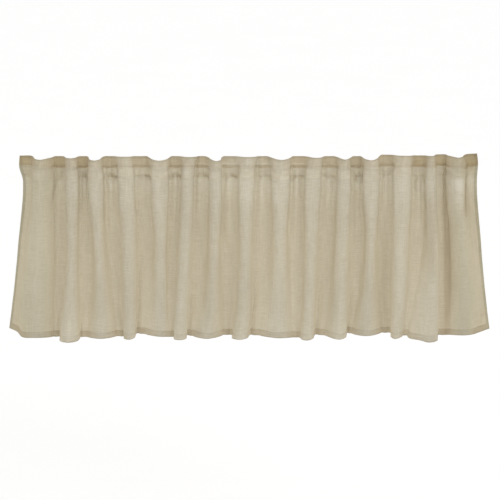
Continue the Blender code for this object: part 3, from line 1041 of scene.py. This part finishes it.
@dataclass(frozen=True)
class LinenFinish:
    """Natural linen look: plain weave with slubs both ways, a little sheer, darker where it is layered, with
    painted light and shade.

    Places are across or down the uncut cloth. Two of them are where a soft step or a band starts and ends,
    and a third is how soft the band's ends are. A pair of strengths is for a crest and a hollow, unless its
    comment says otherwise.
    """

    drape: Drape
    label: tuple[float, float]  # the sides of the label behind it
    light_thread: tuple = (0.775, 0.746, 0.664, 1.0)
    dark_thread: tuple = (0.572, 0.529, 0.433, 1.0)
    # painted light: the folds that stand furthest forward are made paler
    forward_painted_light: tuple = (1.14, 1.16, 1.17, 1.0)
    # painted light: the cloth just under the heading is made paler, most in its middle
    upper_painted_light: tuple = (1.10, 1.115, 1.14, 1.0)
    # painted shade: the crests are darkened towards the hem, most on the shallow folds
    lower_painted_shade: tuple = (0.84, 0.84, 0.84, 1.0)
    # painted shade: the hollows below the heading are made darker and warmer
    hollow_painted_shade: tuple = (0.94, 0.90, 0.84, 1.0)
    wall_painted_light: tuple = (0.92, 0.84, 0.68, 1.0)  # painted light: the folds' walls, where thin cloth seen edge on looks paler and warmer
    # painted shade: the outermost panels, and a strip by the right edge near the top, are darkened
    outer_painted_shade: tuple = (0.83, 0.82, 0.76, 1.0)
    heading_shade: tuple = (0.66, 0.52, 0.28, 1.0)
    lap_shade: tuple = (0.95, 0.93, 0.90, 1.0)  # where the turned edge and the tape lie on each other
    hem_shade: tuple = (0.79, 0.745, 0.67, 1.0)
    side_hem_tone: tuple = (0.915, 0.985, 1.02, 1.0)
    seam_shade: tuple = (0.86, 0.81, 0.74, 1.0)
    # painted light: the cloth over the tape is made paler, most on the crests and in the middle
    taped_painted_light: tuple = (1.17, 1.17, 1.17, 1.0)
    # painted light: the small arches under the heading are made paler where they stand forward
    puff_painted_light: tuple = (1.07, 1.08, 1.11, 1.0)
    trough_shade: tuple = (0.61, 0.53, 0.42, 1.0)
    edge_shade: tuple = (0.72, 0.69, 0.64, 1.0)
    seen_behind_and_light: tuple = (0.86, 0.83, 0.76, 1.0)  # the paleness of the tape and the label behind, which comes through, and painted light in the light strip
    through: tuple = (0.80, 0.757, 0.645, 1.0)
    thread: float = 0.8
    thread_share: float = 0.12
    weft: Slub = Slub((34.0, 2.4), 3.0, 2.5)
    warp: Slub = Slub((2.4, 54.4), 3.0, 1.8)
    cloud: Slub = Slub((34.0, 48.0), 2.0, 0.5)
    patch: Slub = Slub((11.0, 9.0), 2.0, 0.8)
    fleck: Slub = Slub((3.6, 2.6), 2.0, 1.3)
    relief: tuple = (1.2, 0.9)  # how far the weft's and the warp's slubs stand out
    thread_relief: float = 0.35
    bump_height: float = 0.00035
    bump_strength: float = 0.7
    sheer: float = 0.60
    hem_sheer: float = 0.45
    roughness: float = 0.88
    specular: float = 0.2
    sheen: tuple = (0.08, 0.5)  # its weight and roughness
    line_soft: float = 1.6  # how soft the ends of narrow bands are
    side_soft: float = 1.0
    hem_strength: tuple = (0.4, 1.0)
    side_hem_strength: tuple = (1.0, 0.4)  # below the heading and in it
    lap: tuple = (24.6, 31.0)
    lap_strength: tuple = (0.25, 1.0)
    drawn_up: float = 14.0  # how far the heading's seam is drawn up where it droops in full
    left_drawn: float = 5.0  # and at the left edge
    right_dropped: float = 4.0  # how far it hangs down at the right edge
    heading_strength: tuple = (0.38, 1.0)
    heading_even: float = 0.58  # how dark the heading is between its middle and its sides
    heading_paler: float = 0.24  # how much less so in its middle
    heading_darker: float = 0.2  # and how much more so at its sides
    middle: tuple = (890.0, 1130.0, 175.0)
    sides: tuple = (340.0, 1710.0, 125.0)  # outside this band
    light_strip: tuple = (18.4, 21.0)  # painted light: a narrow strip in the heading's hollows where light comes through
    strip_middle: tuple = (760.0, 1300.0, 240.0)
    strip_strength: tuple = (0.05, 0.65)  # beside its middle and in it
    strip_mix: float = 0.9
    tape_rib: float = 6.5
    tape_rib_mix: float = 0.08
    tape_soft: float = 8.0
    tape_strength: tuple = (1.0, 0.4)
    tape_inner: tuple = (319.0, 483.0)  # from the left and the right edge
    tape_inner_soft: float = 260.0
    tape_inner_strength: tuple = (0.6, 1.0)  # outside these places and between them
    label_soft: float = 9.0
    label_mix: float = 0.8
    seam_half: float = 1.0
    seam_strength: tuple = (0.05, 0.85)
    rim: float = 1.6
    rim_fade: tuple = (2.0, 8.0)
    rim_strength: tuple = (0.25, 0.7)
    upper: tuple = (52.0, 132.0, 44.0)
    upper_strength: tuple = (0.42, 1.0)  # beside the middle and in it
    lower: tuple = (230.0, 440.0)
    lower_strength: tuple = (1.0, 0.4)  # on a shallow fold and on the deepest
    hollow_fade: tuple = (36.0, 130.0)
    wall_fade: tuple = (90.0, 260.0)
    wall_strength: tuple = (0.1, 0.65)  # at the top and low down
    outer_left: float = 145.0  # width of the outermost panels
    outer_right: float = 105.0
    outer_soft: float = 30.0
    left_fade: tuple = (30.0, 110.0)
    left_strength: tuple = (1.0, 0.7)  # at the top and below
    left_heading: tuple = (1.0, 0.5)  # below the heading and in it
    left_taped: float = 0.8
    right_low: tuple = (70.0, 200.0)
    right_low_mix: float = 0.8
    right_high: tuple = (54.0, 64.0)
    right_high_mix: float = 0.5
    left_strip: tuple = (40.0, 60.0)  # where the strips along the side edges end, from each edge
    right_strip: tuple = (66.0, 48.0)
    edge_fade: tuple = (130.0, 240.0)
    edge_mix: float = 0.7

    def inside(self, across: Value) -> Value:
        """Gives 1 between the side hems."""
        return across.band(self.drape.side_hem, self.drape.width - self.drape.side_hem, self.side_soft)

    def heading(self, turned: Value) -> Value:
        """Gives 1 in the turned heading, down to where the tape laps under it."""
        return 1 - turned.rising(self.lap[1] - self.drape.hem_slope, self.lap[1])

    def hems(self, across: Value, down: Value) -> Value:
        """Gives 1 in the bottom hem and the side hems."""
        top = self.drape.drop - self.drape.bottom_hem
        return 1 - (1 - down.rising(top, top + self.drape.hem_slope)) * self.inside(across)

    def taped(self, across: Value, down: Value) -> Value:
        """Gives 1 where the tape lies behind the cloth."""
        return down.band(HeadingTape.top, HeadingTape.foot, self.tape_soft) * self.inside(across)

    def labelled(self, across: Value, down: Value) -> Value:
        """Gives 1 where the label lies behind the cloth."""
        beside = across.band(*self.label, self.label_soft)
        return beside * down.band(CareLabel.top, CareLabel.foot, self.label_soft)

    def seams(self, down: Value) -> Value:
        """Gives 1 along the rows of stitches across the cloth.

        Args:
            down: the place down the cloth.

        Returns:
            The mask.
        """
        insets = [seam.inset for seam in SEAMS if seam.edge is Edge.TOP]
        rows = [down.band(inset - self.seam_half, inset + self.seam_half, self.line_soft) for inset in insets]
        return sum(rows[1:], rows[0])

    def outer(self, across: Value, down: Value, hollow: Value, heading: Value, taped: Value) -> Value:
        """Gives how strongly painted shade darkens the outermost panels.

        Args:
            across: the place across the cloth.
            down: the place down it.
            hollow: how deep it lies between two folds.
            heading: 1 in the heading.
            taped: 1 over the tape.

        Returns:
            The strength, from 0 to 1.
        """
        left = 1 - across.rising(self.outer_left - self.outer_soft, self.outer_left + self.outer_soft)
        left = left * down.rising(*self.left_fade).between(*self.left_strength)
        left = left * (1 - taped * (1 - hollow) * self.left_taped) * heading.between(*self.left_heading)
        start = self.drape.width - self.outer_right
        right = across.rising(start - self.outer_soft, start + self.outer_soft)
        low = down.rising(*self.right_low) * self.right_low_mix
        high = (1 - down.rising(*self.right_high)) * self.right_high_mix
        return left + right * (low + high)

    def material(self) -> bpy.types.Material:
        """Builds the finish from the cloth's own places and marks.

        Returns:
            The material.
        """
        bench = Bench("natural_linen")
        width = self.drape.width
        across, down = bench.cloth_place()
        hollow, wall, trough, forward, droop, puff = (bench.mark(mark) for mark in Mark)
        slubs = (self.weft, self.warp, self.cloud, self.patch, self.fleck)
        noises = [bench.noise(across, down, slub.size, slub.detail) for slub in slubs]
        over = (across * (math.pi / self.thread)).sine() * (down * (math.pi / self.thread)).sine()
        tone = sum((noise * slub.share for noise, slub in zip(noises, slubs)), 0.5) + over * self.thread_share
        colour = bench.blend(Blend.MIX, tone.clamp(), self.dark_thread, self.light_thread)
        left_strip = 1 - across.rising(*self.left_strip)
        right_strip = across.rising(*(width - place for place in self.right_strip))
        turned = down + droop * self.drawn_up
        turned = turned + left_strip * self.left_drawn - right_strip * self.right_dropped
        heading, hems = self.heading(turned), self.hems(across, down)
        taped, labelled = self.taped(across, down), self.labelled(across, down)
        middle, sides = across.band(*self.middle), 1 - across.band(*self.sides)
        inner = across.band(self.tape_inner[0], width - self.tape_inner[1], self.tape_inner_soft)
        rib = (down * (2 * math.pi / self.tape_rib)).sine()
        behind = taped * rib * self.tape_rib_mix + labelled * self.label_mix
        upper = down.band(*self.upper) * middle.between(*self.upper_strength)
        lower = down.rising(*self.lower) * (1 - hollow) * forward.between(*self.lower_strength)
        walls = wall * down.rising(*self.wall_fade).between(*self.wall_strength)
        # painted shade along the right edge near the top
        edge = right_strip * (1 - down.rising(*self.edge_fade)) * self.edge_mix
        even = self.heading_even - middle * self.heading_paler + sides * self.heading_darker
        lapped = turned.band(*self.lap, self.line_soft) * hollow.between(*self.lap_strength)
        # painted light over the tape
        pale = taped * hollow.between(*self.tape_strength) * inner.between(*self.tape_inner_strength)
        side_hems = (1 - self.inside(across)) * heading.between(*self.side_hem_strength)
        # painted light along a narrow strip of the heading's hollows
        light_strip = down.band(*self.light_strip, self.line_soft) * hollow
        light_strip = light_strip * across.band(*self.strip_middle).between(*self.strip_strength)
        rim = 1 - down.band(self.rim, self.drape.drop - self.rim, self.line_soft)
        rim = rim + (1 - down.rising(*self.rim_fade)) * hollow.between(*self.rim_strength)
        steps = (
            (Blend.MIX, behind, self.seen_behind_and_light),
            # painted light on the folds that stand forward
            (Blend.MULTIPLY, forward, self.forward_painted_light),
            # painted light under the heading
            (Blend.MULTIPLY, upper, self.upper_painted_light),
            # painted shade low down on the crests
            (Blend.MULTIPLY, lower, self.lower_painted_shade),
            # painted shade in the hollows
            (Blend.MULTIPLY, hollow * down.rising(*self.hollow_fade), self.hollow_painted_shade),
            # painted light on the folds' walls
            (Blend.MIX, walls, self.wall_painted_light),
            # painted shade on the outermost panels
            (Blend.MULTIPLY, self.outer(across, down, hollow, heading, taped), self.outer_painted_shade),
            (Blend.MULTIPLY, edge, self.outer_painted_shade),
            (Blend.MULTIPLY, heading * hollow.between(*self.heading_strength) * even, self.heading_shade),
            (Blend.MULTIPLY, lapped, self.lap_shade),
            # painted light over the tape
            (Blend.MULTIPLY, pale, self.taped_painted_light),
            (Blend.MULTIPLY, hems * hollow.between(*self.hem_strength), self.hem_shade),
            (Blend.MULTIPLY, side_hems, self.side_hem_tone),
            (Blend.MULTIPLY, self.seams(down) * hollow.between(*self.seam_strength), self.seam_shade),
            # painted light on the puffs
            (Blend.MULTIPLY, puff, self.puff_painted_light),
            (Blend.MULTIPLY, trough, self.trough_shade),
            # painted light in the strip
            (Blend.MIX, light_strip.clamp() * self.strip_mix, self.seen_behind_and_light),
            (Blend.MULTIPLY, rim, self.edge_shade),
        )
        for kind, factor, tint in steps:
            colour = bench.blend(kind, factor, colour, tint)
        relief = sum((noise * share for noise, share in zip(noises, self.relief)), over * self.thread_relief)
        normal = bench.bump(relief, self.bump_height, self.bump_strength)
        sockets = {
            "Base Color": colour,
            "Roughness": self.roughness,
            "Specular IOR Level": self.specular,
            "Sheen Weight": self.sheen[0],
            "Sheen Roughness": self.sheen[1],
        }
        sheer = (heading + hems).clamp().between(self.sheer, self.hem_sheer)
        return bench.sheer_cloth(sockets, normal, self.through, sheer)


class Way(Enum):
    """The way in which ribs follow on each other."""

    ACROSS = 0
    DOWN = 1


class Rib(NamedTuple):
    """One set of fine ribs in a ribbon: their way and pitch, and their shares of its tone and its relief."""

    way: Way
    pitch: float
    tone: float
    relief: float


@dataclass(frozen=True)
class RibbonFinish:
    """A woven ribbon's look: fine ribs with slow, faint clouds over them, and a little sheer."""

    name: str
    light: tuple
    dark: tuple
    through: tuple
    sheer: float
    ribs: tuple[Rib, ...]
    cloud_size: tuple
    cloud_tone: float
    bump_height: float
    bump_strength: float
    shine: dict[str, float]  # what the plain sockets of its shader hold
    middle_tone: float = 0.6

    def material(self) -> bpy.types.Material:
        """Builds the finish from the ribbon's own places.

        Returns:
            The material.
        """
        bench = Bench(self.name)
        place = bench.cloth_place()
        cloud = bench.noise(*place, self.cloud_size)
        waves = [(place[rib.way.value] * (2 * math.pi / rib.pitch)).sine() for rib in self.ribs]
        tone = sum((wave * rib.tone for wave, rib in zip(waves, self.ribs)), cloud * self.cloud_tone)
        colour = bench.blend(Blend.MIX, (tone + self.middle_tone).clamp(), self.dark, self.light)
        relief = sum((wave * rib.relief for wave, rib in zip(waves, self.ribs)), cloud)
        normal = bench.bump(relief, self.bump_height, self.bump_strength)
        return bench.sheer_cloth({"Base Color": colour, **self.shine}, normal, self.through, self.sheer)


COTTON_TAPE = RibbonFinish(
    name="woven_tape",
    light=(0.86, 0.82, 0.72, 1.0),
    dark=(0.77, 0.72, 0.61, 1.0),
    through=(0.98, 0.96, 0.92, 1.0),
    sheer=0.92,
    ribs=(Rib(Way.DOWN, 1.5, 0.16, 0.6), Rib(Way.ACROSS, 0.9, 0.08, 0.3)),
    cloud_size=(20.0, 5.0),
    cloud_tone=0.5,
    bump_height=0.0003,
    bump_strength=0.8,
    shine={"Roughness": 0.82, "Specular IOR Level": 0.25},
)
BLANK_SATIN = RibbonFinish(
    name="label_satin_weave",
    light=(0.84, 0.82, 0.76, 1.0),
    dark=(0.74, 0.72, 0.66, 1.0),
    through=(0.97, 0.96, 0.93, 1.0),
    sheer=0.8,
    ribs=(Rib(Way.DOWN, 0.5, 0.1, 0.4),),
    cloud_size=(6.0, 2.0),
    cloud_tone=0.6,
    bump_height=0.00015,
    bump_strength=0.6,
    shine={"Roughness": 0.42, "Sheen Weight": 0.2},
)


@dataclass(frozen=True)
class ThreadFinish:
    """Twisted sewing thread, close to the linen's colour."""

    light: tuple = (0.66, 0.58, 0.42, 1.0)
    dark: tuple = (0.48, 0.41, 0.28, 1.0)
    twist_scale: float = 1600.0
    twist_detail: float = 1.0
    bump_height: float = 0.0001
    bump_strength: float = 0.5
    roughness: float = 0.6

    def material(self) -> bpy.types.Material:
        """Builds the finish from the places in the object."""
        bench = Bench("sewing_thread")
        twist = bench.object_noise(self.twist_scale, self.twist_detail)
        colour = bench.blend(Blend.MIX, twist, self.dark, self.light)
        normal = bench.bump(twist, self.bump_height, self.bump_strength)
        return bench.plain({"Base Color": colour, "Roughness": self.roughness, "Normal": normal})


@dataclass(frozen=True)
class FloorFinish:
    """Plain pale floor with the least unevenness."""

    colour: tuple = (0.98, 0.98, 0.975, 1.0)
    paler: float = 1.02  # how much paler the palest grain is
    grain_scale: float = 3.0
    roughness: float = 0.9
    specular: float = 0.1

    def material(self) -> bpy.types.Material:
        """Builds the finish from the places in the object."""
        bench = Bench("pale_floor")
        grain = bench.object_noise(self.grain_scale)
        paler = tuple(min(1.0, part * self.paler) for part in self.colour)
        colour = bench.blend(Blend.MIX, grain, self.colour, paler)
        return bench.plain(
            {"Base Color": colour, "Roughness": self.roughness, "Specular IOR Level": self.specular}
        )


def settle(name: str, mesh: bpy.types.Mesh, material: bpy.types.Material) -> bpy.types.Object:
    """Puts a finished mesh in the scene as a piece.

    Args:
        name: the piece's name.
        mesh: its mesh, already in place.
        material: its finish.

    Returns:
        The piece.
    """
    piece = bpy.data.objects.new(name, mesh)
    mesh.materials.append(material)
    bpy.context.scene.collection.objects.link(piece)
    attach(piece, BODY)
    LOG.info("%s: %d faces", name, len(mesh.polygons))
    return piece


@dataclass(frozen=True)
class Panel:
    """The cloth itself, thin in its middle and several layers thick in its hems."""

    cloth: Cloth
    single: float = 0.6
    hemmed: float = 1.9
    steps_half_fold: int = 16
    crowding: float = 0.35  # how much closer together the columns stand in the hollows
    steps_side: int = 21
    steps_side_hem: int = 3
    steps_down: tuple = (9, 1, 10, 15, 15, 30, 4, 1, 7)  # from each level to the next
    creased: float = 110.0  # down to here the rows under the heading stand closest
    gathered: float = 200.0  # and down to here the next closest
    above_hem: float = 20.0
    near: float = 1e-6  # how near two places are that count as one

    def halves(self) -> np.ndarray:
        """Gives the columns, in half folds.

        Returns:
            The columns, from the left edge to the right.
        """
        drape = self.cloth.drape
        left, right = drape.edges
        hem = np.linspace(0.0, drape.side_hem_end, self.steps_side_hem + 1)
        middle = np.linspace(0.0, drape.last_crest, int(drape.last_crest) * self.steps_half_fold + 1)
        middle = middle + np.sin(np.pi * middle) * self.crowding / np.pi
        return np.concatenate(
            (
                left + hem,
                np.linspace(left + hem[-1], 0.0, self.steps_side)[1:-1],
                middle,
                np.linspace(drape.last_crest, right - hem[-1], self.steps_side)[1:-1],
                right - hem[::-1],
            )
        )

    def drops(self) -> np.ndarray:
        """Gives the rows, closer together at the heading and the hem.

        Returns:
            The rows, as distances below the top edge.
        """
        drape = self.cloth.drape
        hem_top = drape.drop - drape.bottom_hem
        heading = (0.0, drape.heading_hem - drape.hem_slope, drape.heading_hem, drape.tape_foot)
        hem = (hem_top - self.above_hem, hem_top, hem_top + drape.hem_slope, drape.drop)
        levels = (*heading, self.creased, self.gathered, *hem)
        stretches = zip(levels, levels[1:], self.steps_down)
        rows = [np.linspace(start, end, steps + 1)[1:] for start, end, steps in stretches]
        return np.concatenate([np.zeros(1), *rows])

    def thickness(self, drops: np.ndarray, halves: np.ndarray) -> np.ndarray:
        """Gives the cloth's thickness by row and column.

        Args:
            drops: the rows, as distances below the top edge.
            halves: the columns, in half folds.

        Returns:
            The thicknesses.
        """
        drape = self.cloth.drape
        left, right = drape.edges
        heading = drops <= drape.heading_hem - drape.hem_slope + self.near
        foot = drops >= drape.drop - drape.bottom_hem + drape.hem_slope - self.near
        inner = left + drape.side_hem_end * (1 - 1 / self.steps_side_hem)
        side = (halves <= inner + self.near) | (halves >= left + right - inner - self.near)
        return np.where((heading | foot)[:, None] | side[None, :], self.hemmed, self.single)

    def marks(self, drops: np.ndarray, halves: np.ndarray, front: np.ndarray, back_way: np.ndarray) -> dict:
        """Marks the cloth for its finish.

        Args:
            drops: the rows, as distances below the top edge.
            halves: the columns, in half folds.
            front: the cloth's front, by row and column.
            back_way: the way from the front to the back.

        Returns:
            The marks, each by row and column.
        """
        flat = np.moveaxis(self.cloth.flat(drops, halves), -1, 0)
        return {
            Mark.HOLLOW: self.cloth.hollows(drops, halves),
            Mark.WALL: self.cloth.walls(back_way),
            Mark.TROUGH: self.cloth.handling.troughs(*flat),
            Mark.FORWARD: self.cloth.forwards(front),
            Mark.DROOP: self.cloth.droops(drops, halves),
            Mark.PUFF: self.cloth.handling.puffed(*flat),
        }

    def build(self) -> bpy.types.Object:
        """Makes the cloth in one piece, in place of its solid.

        Returns:
            The piece.
        """
        drops, halves = self.drops(), self.halves()
        front, back_way = self.cloth.front(drops, halves)
        back = front + back_way * self.thickness(drops, halves)[..., None]
        marks = self.marks(drops, halves, front, back_way)
        mesh = ClosedSheet("linen_cloth", front, back, self.cloth.flat(drops, halves), marks).mesh()
        drape = self.cloth.drape
        LOG.info("flat width of the cloth: %.0f mm", drape.width)
        finish = LinenFinish(drape, tuple(drape.flat(CareLabel.sides()).tolist()))
        piece = settle("linen_cloth", mesh, finish.material())
        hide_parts("valance_panel")
        return piece


@dataclass(frozen=True)
class Ribbon:
    """A ribbon that lies behind the cloth and follows its folds."""

    cloth: Cloth
    top: float
    foot: float
    behind: float
    thickness: float
    rows: int

    def mesh(self, name: str, halves: np.ndarray) -> bpy.types.Mesh:
        """Lays the ribbon over these columns.

        Args:
            name: the mesh's name.
            halves: the columns, in half folds.

        Returns:
            The mesh.
        """
        drops = np.linspace(self.top, self.foot, self.rows)
        front, back_way = self.cloth.front(drops, halves)
        near = front + back_way * self.behind
        far = near + back_way * self.thickness
        return ClosedSheet(name, near, far, self.cloth.flat(drops, halves)).mesh()


@dataclass(frozen=True)
class HeadingTape(Ribbon):
    """The tape sewn behind the heading, from side hem to side hem."""

    top: float = 28.4
    foot: float = 56.0
    behind: float = 0.7
    thickness: float = 0.9
    steps_half_fold: int = 14
    rows: int = 9

    def build(self) -> bpy.types.Object:
        """Makes the tape, in place of its solid.

        Returns:
            The piece.
        """
        drape = self.cloth.drape
        left, right = drape.edges
        steps = int((right - left) * self.steps_half_fold)
        halves = np.linspace(left + drape.side_hem_end, right - drape.side_hem_end, steps)
        mesh = self.mesh("woven_tape", halves)
        piece = settle("woven_tape", mesh, COTTON_TAPE.material())
        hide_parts("heading_tape")
        return piece


@dataclass(frozen=True)
class CareLabel(Ribbon):
    """The blank ribbon that hangs from the tape behind the last fold."""

    fold: int = 15
    half_width: float = 0.17  # in half folds
    top: float = 56.3
    foot: float = 92.0
    behind: float = 0.9
    thickness: float = 0.6
    columns: int = 13
    rows: int = 19

    @classmethod
    def sides(cls) -> tuple[float, float]:
        """Gives its left and its right side, in half folds."""
        crest = 2.0 * (cls.fold - 1)
        return crest - cls.half_width, crest + cls.half_width

    def build(self) -> bpy.types.Object:
        """Makes the label, in place of its solid.

        Returns:
            The piece.
        """
        mesh = self.mesh("blank_label", np.linspace(*self.sides(), self.columns))
        piece = settle("blank_label", mesh, BLANK_SATIN.material())
        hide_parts("care_label")
        return piece


@dataclass(frozen=True)
class Stitching:
    """Every row of stitches, on the front and the back of the cloth."""

    cloth: Cloth
    panel: Panel
    pitch: float = 3.4
    length: float = 2.4
    thread: float = 0.42
    depth: float = 0.5  # of the thread's height that lies in the cloth
    end_margin: float = 4.0
    samples: int = 3000  # along a row of stitches
    beside: float = 1.5  # how far above and below a row the cloth is sampled
    beside_halves: float = 0.01  # and beside a row down a side edge, in half folds

    def frames(self, seam: Seam, face: Face) -> list[Matrix]:
        """Places a seam's stitches.

        Args:
            seam: the row of stitches.
            face: the side of the cloth.

        Returns:
            A placing matrix for each stitch, in metres, with X along the thread and Z out of the cloth.
        """
        drape = self.cloth.drape
        left, right = drape.edges
        if seam.edge is Edge.TOP:
            known = np.linspace(left, right, self.samples)
            flat = drape.flat(known)
            count = int((flat[-1] - 2 * self.end_margin) / self.pitch)
            middles = self.end_margin + (np.arange(count) + 0.5) * self.pitch
            halves = np.interp(middles, flat, known)
            drops = seam.inset + np.array((-1.0, 0.0, 1.0)) * self.beside
            points, ways = self.cloth.front(drops, halves)
            along = np.gradient(points, axis=1)[1]
            thick = self.panel.thickness(np.array((seam.inset,)), halves)[0]
            points, ways = points[1], ways[1]
        else:
            share = drape.side_hem_end * seam.inset / drape.side_hem
            place = left + share if seam.edge is Edge.LEFT else right - share
            count = int((drape.drop - 2 * self.end_margin) / self.pitch)
            drops = self.end_margin + (np.arange(count) + 0.5) * self.pitch
            halves = place + np.array((-1.0, 0.0, 1.0)) * self.beside_halves
            points, ways = self.cloth.front(drops, halves)
            along = np.gradient(points, axis=0)[:, 1]
            thick = np.full(count, self.panel.hemmed)
            points, ways = points[:, 1], ways[:, 1]
        return [self.frame_of(*row, face) for row in zip(points, ways, along, thick)]

    def frame_of(
        self, point: np.ndarray, way: np.ndarray, along: np.ndarray, thick: float, face: Face
    ) -> Matrix:
        """Places one stitch on the front or the back of the cloth.

        Args:
            point: the cloth's front there.
            way: the way from the front to the back.
            along: the way along the seam.
            thick: the cloth's thickness.
            face: the side of the cloth.

        Returns:
            The placing matrix.
        """
        out = Vector(way) if face is Face.BACK else -Vector(way)
        middle = Vector(point + way * thick * face.value) + out * self.thread * (0.5 - self.depth)
        ahead = Vector(along)
        ahead = (ahead - out * ahead.dot(out)).normalized()
        across = out.cross(ahead)
        turned = Matrix((ahead, across, out)).transposed().to_4x4()
        sizes = Matrix.Diagonal((self.length / 2, self.thread / 2, self.thread / 2, 1 / MM))
        return Matrix.Translation(middle * MM) @ (turned @ sizes * MM)

    def build(self) -> bpy.types.Object:
        """Makes one stitch, and joins a copy of it at every place.

        Returns:
            The piece.
        """
        bm = bmesh.new()
        bmesh.ops.create_icosphere(bm, subdivisions=1, radius=1.0)
        corners = np.array([(*vert.co, 1.0) for vert in bm.verts])
        faces = np.array([[vert.index for vert in face.verts] for face in bm.faces])
        bm.free()
        placings = np.array([placed for seam in SEAMS for face in Face for placed in self.frames(seam, face)])
        points = (placings @ corners.T).transpose(0, 2, 1)[..., :3]
        firsts = np.arange(len(placings))[:, None, None] * len(corners)
        mesh = bpy.data.meshes.new("sewing_thread")
        mesh.from_pydata(points.reshape(-1, 3), [], (faces + firsts).reshape(-1, 3))
        mesh.shade_smooth()
        return settle("sewing_thread", mesh, ThreadFinish().material())


@dataclass(frozen=True)
class Studio:
    """The pale floor, the soft light and the camera."""

    floor_level: float = -1.25
    floor_size: float = 30.0
    target: tuple = (0.0, -0.02, -0.258)
    elevation: float = 14.0
    distance: float = 8.0
    lens: float = 210.2
    sensor: float = 36.0
    sight: float = 200.0  # how far the camera sees
    surround: float = 1.0
    backdrop: float = 1.0
    key_place: tuple = (3.4, -4.2, 2.4)
    key_size: float = 2.2
    key_power: float = 47.0

    def build(self) -> None:
        """Makes everything that isn't the object."""
        self.build_floor()
        self.build_world()
        self.build_key()
        self.build_camera()

    def build_floor(self) -> None:
        """Lays the floor."""
        bm = bmesh.new()
        level = Matrix.Translation((0.0, 0.0, self.floor_level))
        bmesh.ops.create_grid(bm, x_segments=4, y_segments=4, size=self.floor_size / 2, matrix=level)
        mesh = bpy.data.meshes.new("floor")
        bm.to_mesh(mesh)
        bm.free()
        mesh.materials.append(FloorFinish().material())
        floor = bpy.data.objects.new("floor", mesh)
        bpy.context.scene.collection.objects.link(floor)

    def build_world(self) -> None:
        """Surrounds the object with even white light, seen as a white backdrop."""
        world = bpy.data.worlds.new("studio")
        world.use_nodes = True
        nodes, links = world.node_tree.nodes, world.node_tree.links
        nodes.clear()
        light = nodes.new("ShaderNodeBackground")
        light.inputs["Strength"].default_value = self.surround
        seen = nodes.new("ShaderNodeBackground")
        seen.inputs["Strength"].default_value = self.backdrop
        for background in (light, seen):
            background.inputs["Color"].default_value = (1.0, 1.0, 1.0, 1.0)
        path = nodes.new("ShaderNodeLightPath")
        mix = nodes.new("ShaderNodeMixShader")
        end = nodes.new("ShaderNodeOutputWorld")
        links.new(path.outputs["Is Camera Ray"], mix.inputs[0])
        links.new(light.outputs[0], mix.inputs[1])
        links.new(seen.outputs[0], mix.inputs[2])
        links.new(mix.outputs[0], end.inputs["Surface"])
        bpy.context.scene.world = world
        bpy.context.scene.view_settings.view_transform = "Standard"

    def build_key(self) -> None:
        """Hangs the soft key light in front, to the right and above."""
        data = bpy.data.lights.new("key", "AREA")
        data.size = self.key_size
        data.energy = self.key_power
        key = bpy.data.objects.new("key", data)
        key.location = self.key_place
        aim = Vector(self.target) - key.location
        key.rotation_euler = aim.to_track_quat("-Z", "Y").to_euler()
        bpy.context.scene.collection.objects.link(key)

    def build_camera(self) -> None:
        """Sets the camera at the height and the distance of the photograph."""
        data = bpy.data.cameras.new("camera")
        data.sensor_width = self.sensor
        data.lens = self.lens
        data.clip_end = self.sight
        camera = bpy.data.objects.new("camera", data)
        tilt = math.radians(self.elevation)
        back = Vector((0.0, -math.cos(tilt), math.sin(tilt)))
        camera.location = Vector(self.target) + back * self.distance
        camera.rotation_euler = (-back).to_track_quat("-Z", "Y").to_euler()
        bpy.context.scene.collection.objects.link(camera)
        bpy.context.scene.camera = camera


def main() -> None:
    """Builds the valance and its studio."""
    logging.basicConfig(level=logging.INFO, format="%(name)s %(message)s")
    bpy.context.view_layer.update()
    drape = Drape()
    cloth = Cloth(drape, Handling(drape))
    panel = Panel(cloth)
    linen = panel.build()
    tape = HeadingTape(cloth).build()
    label = CareLabel(cloth).build()
    thread = Stitching(cloth, panel).build()
    flat = (round(drape.width * MM, 2), drape.drop * MM)
    Studio().build()


if __name__ == "__main__":
    main()
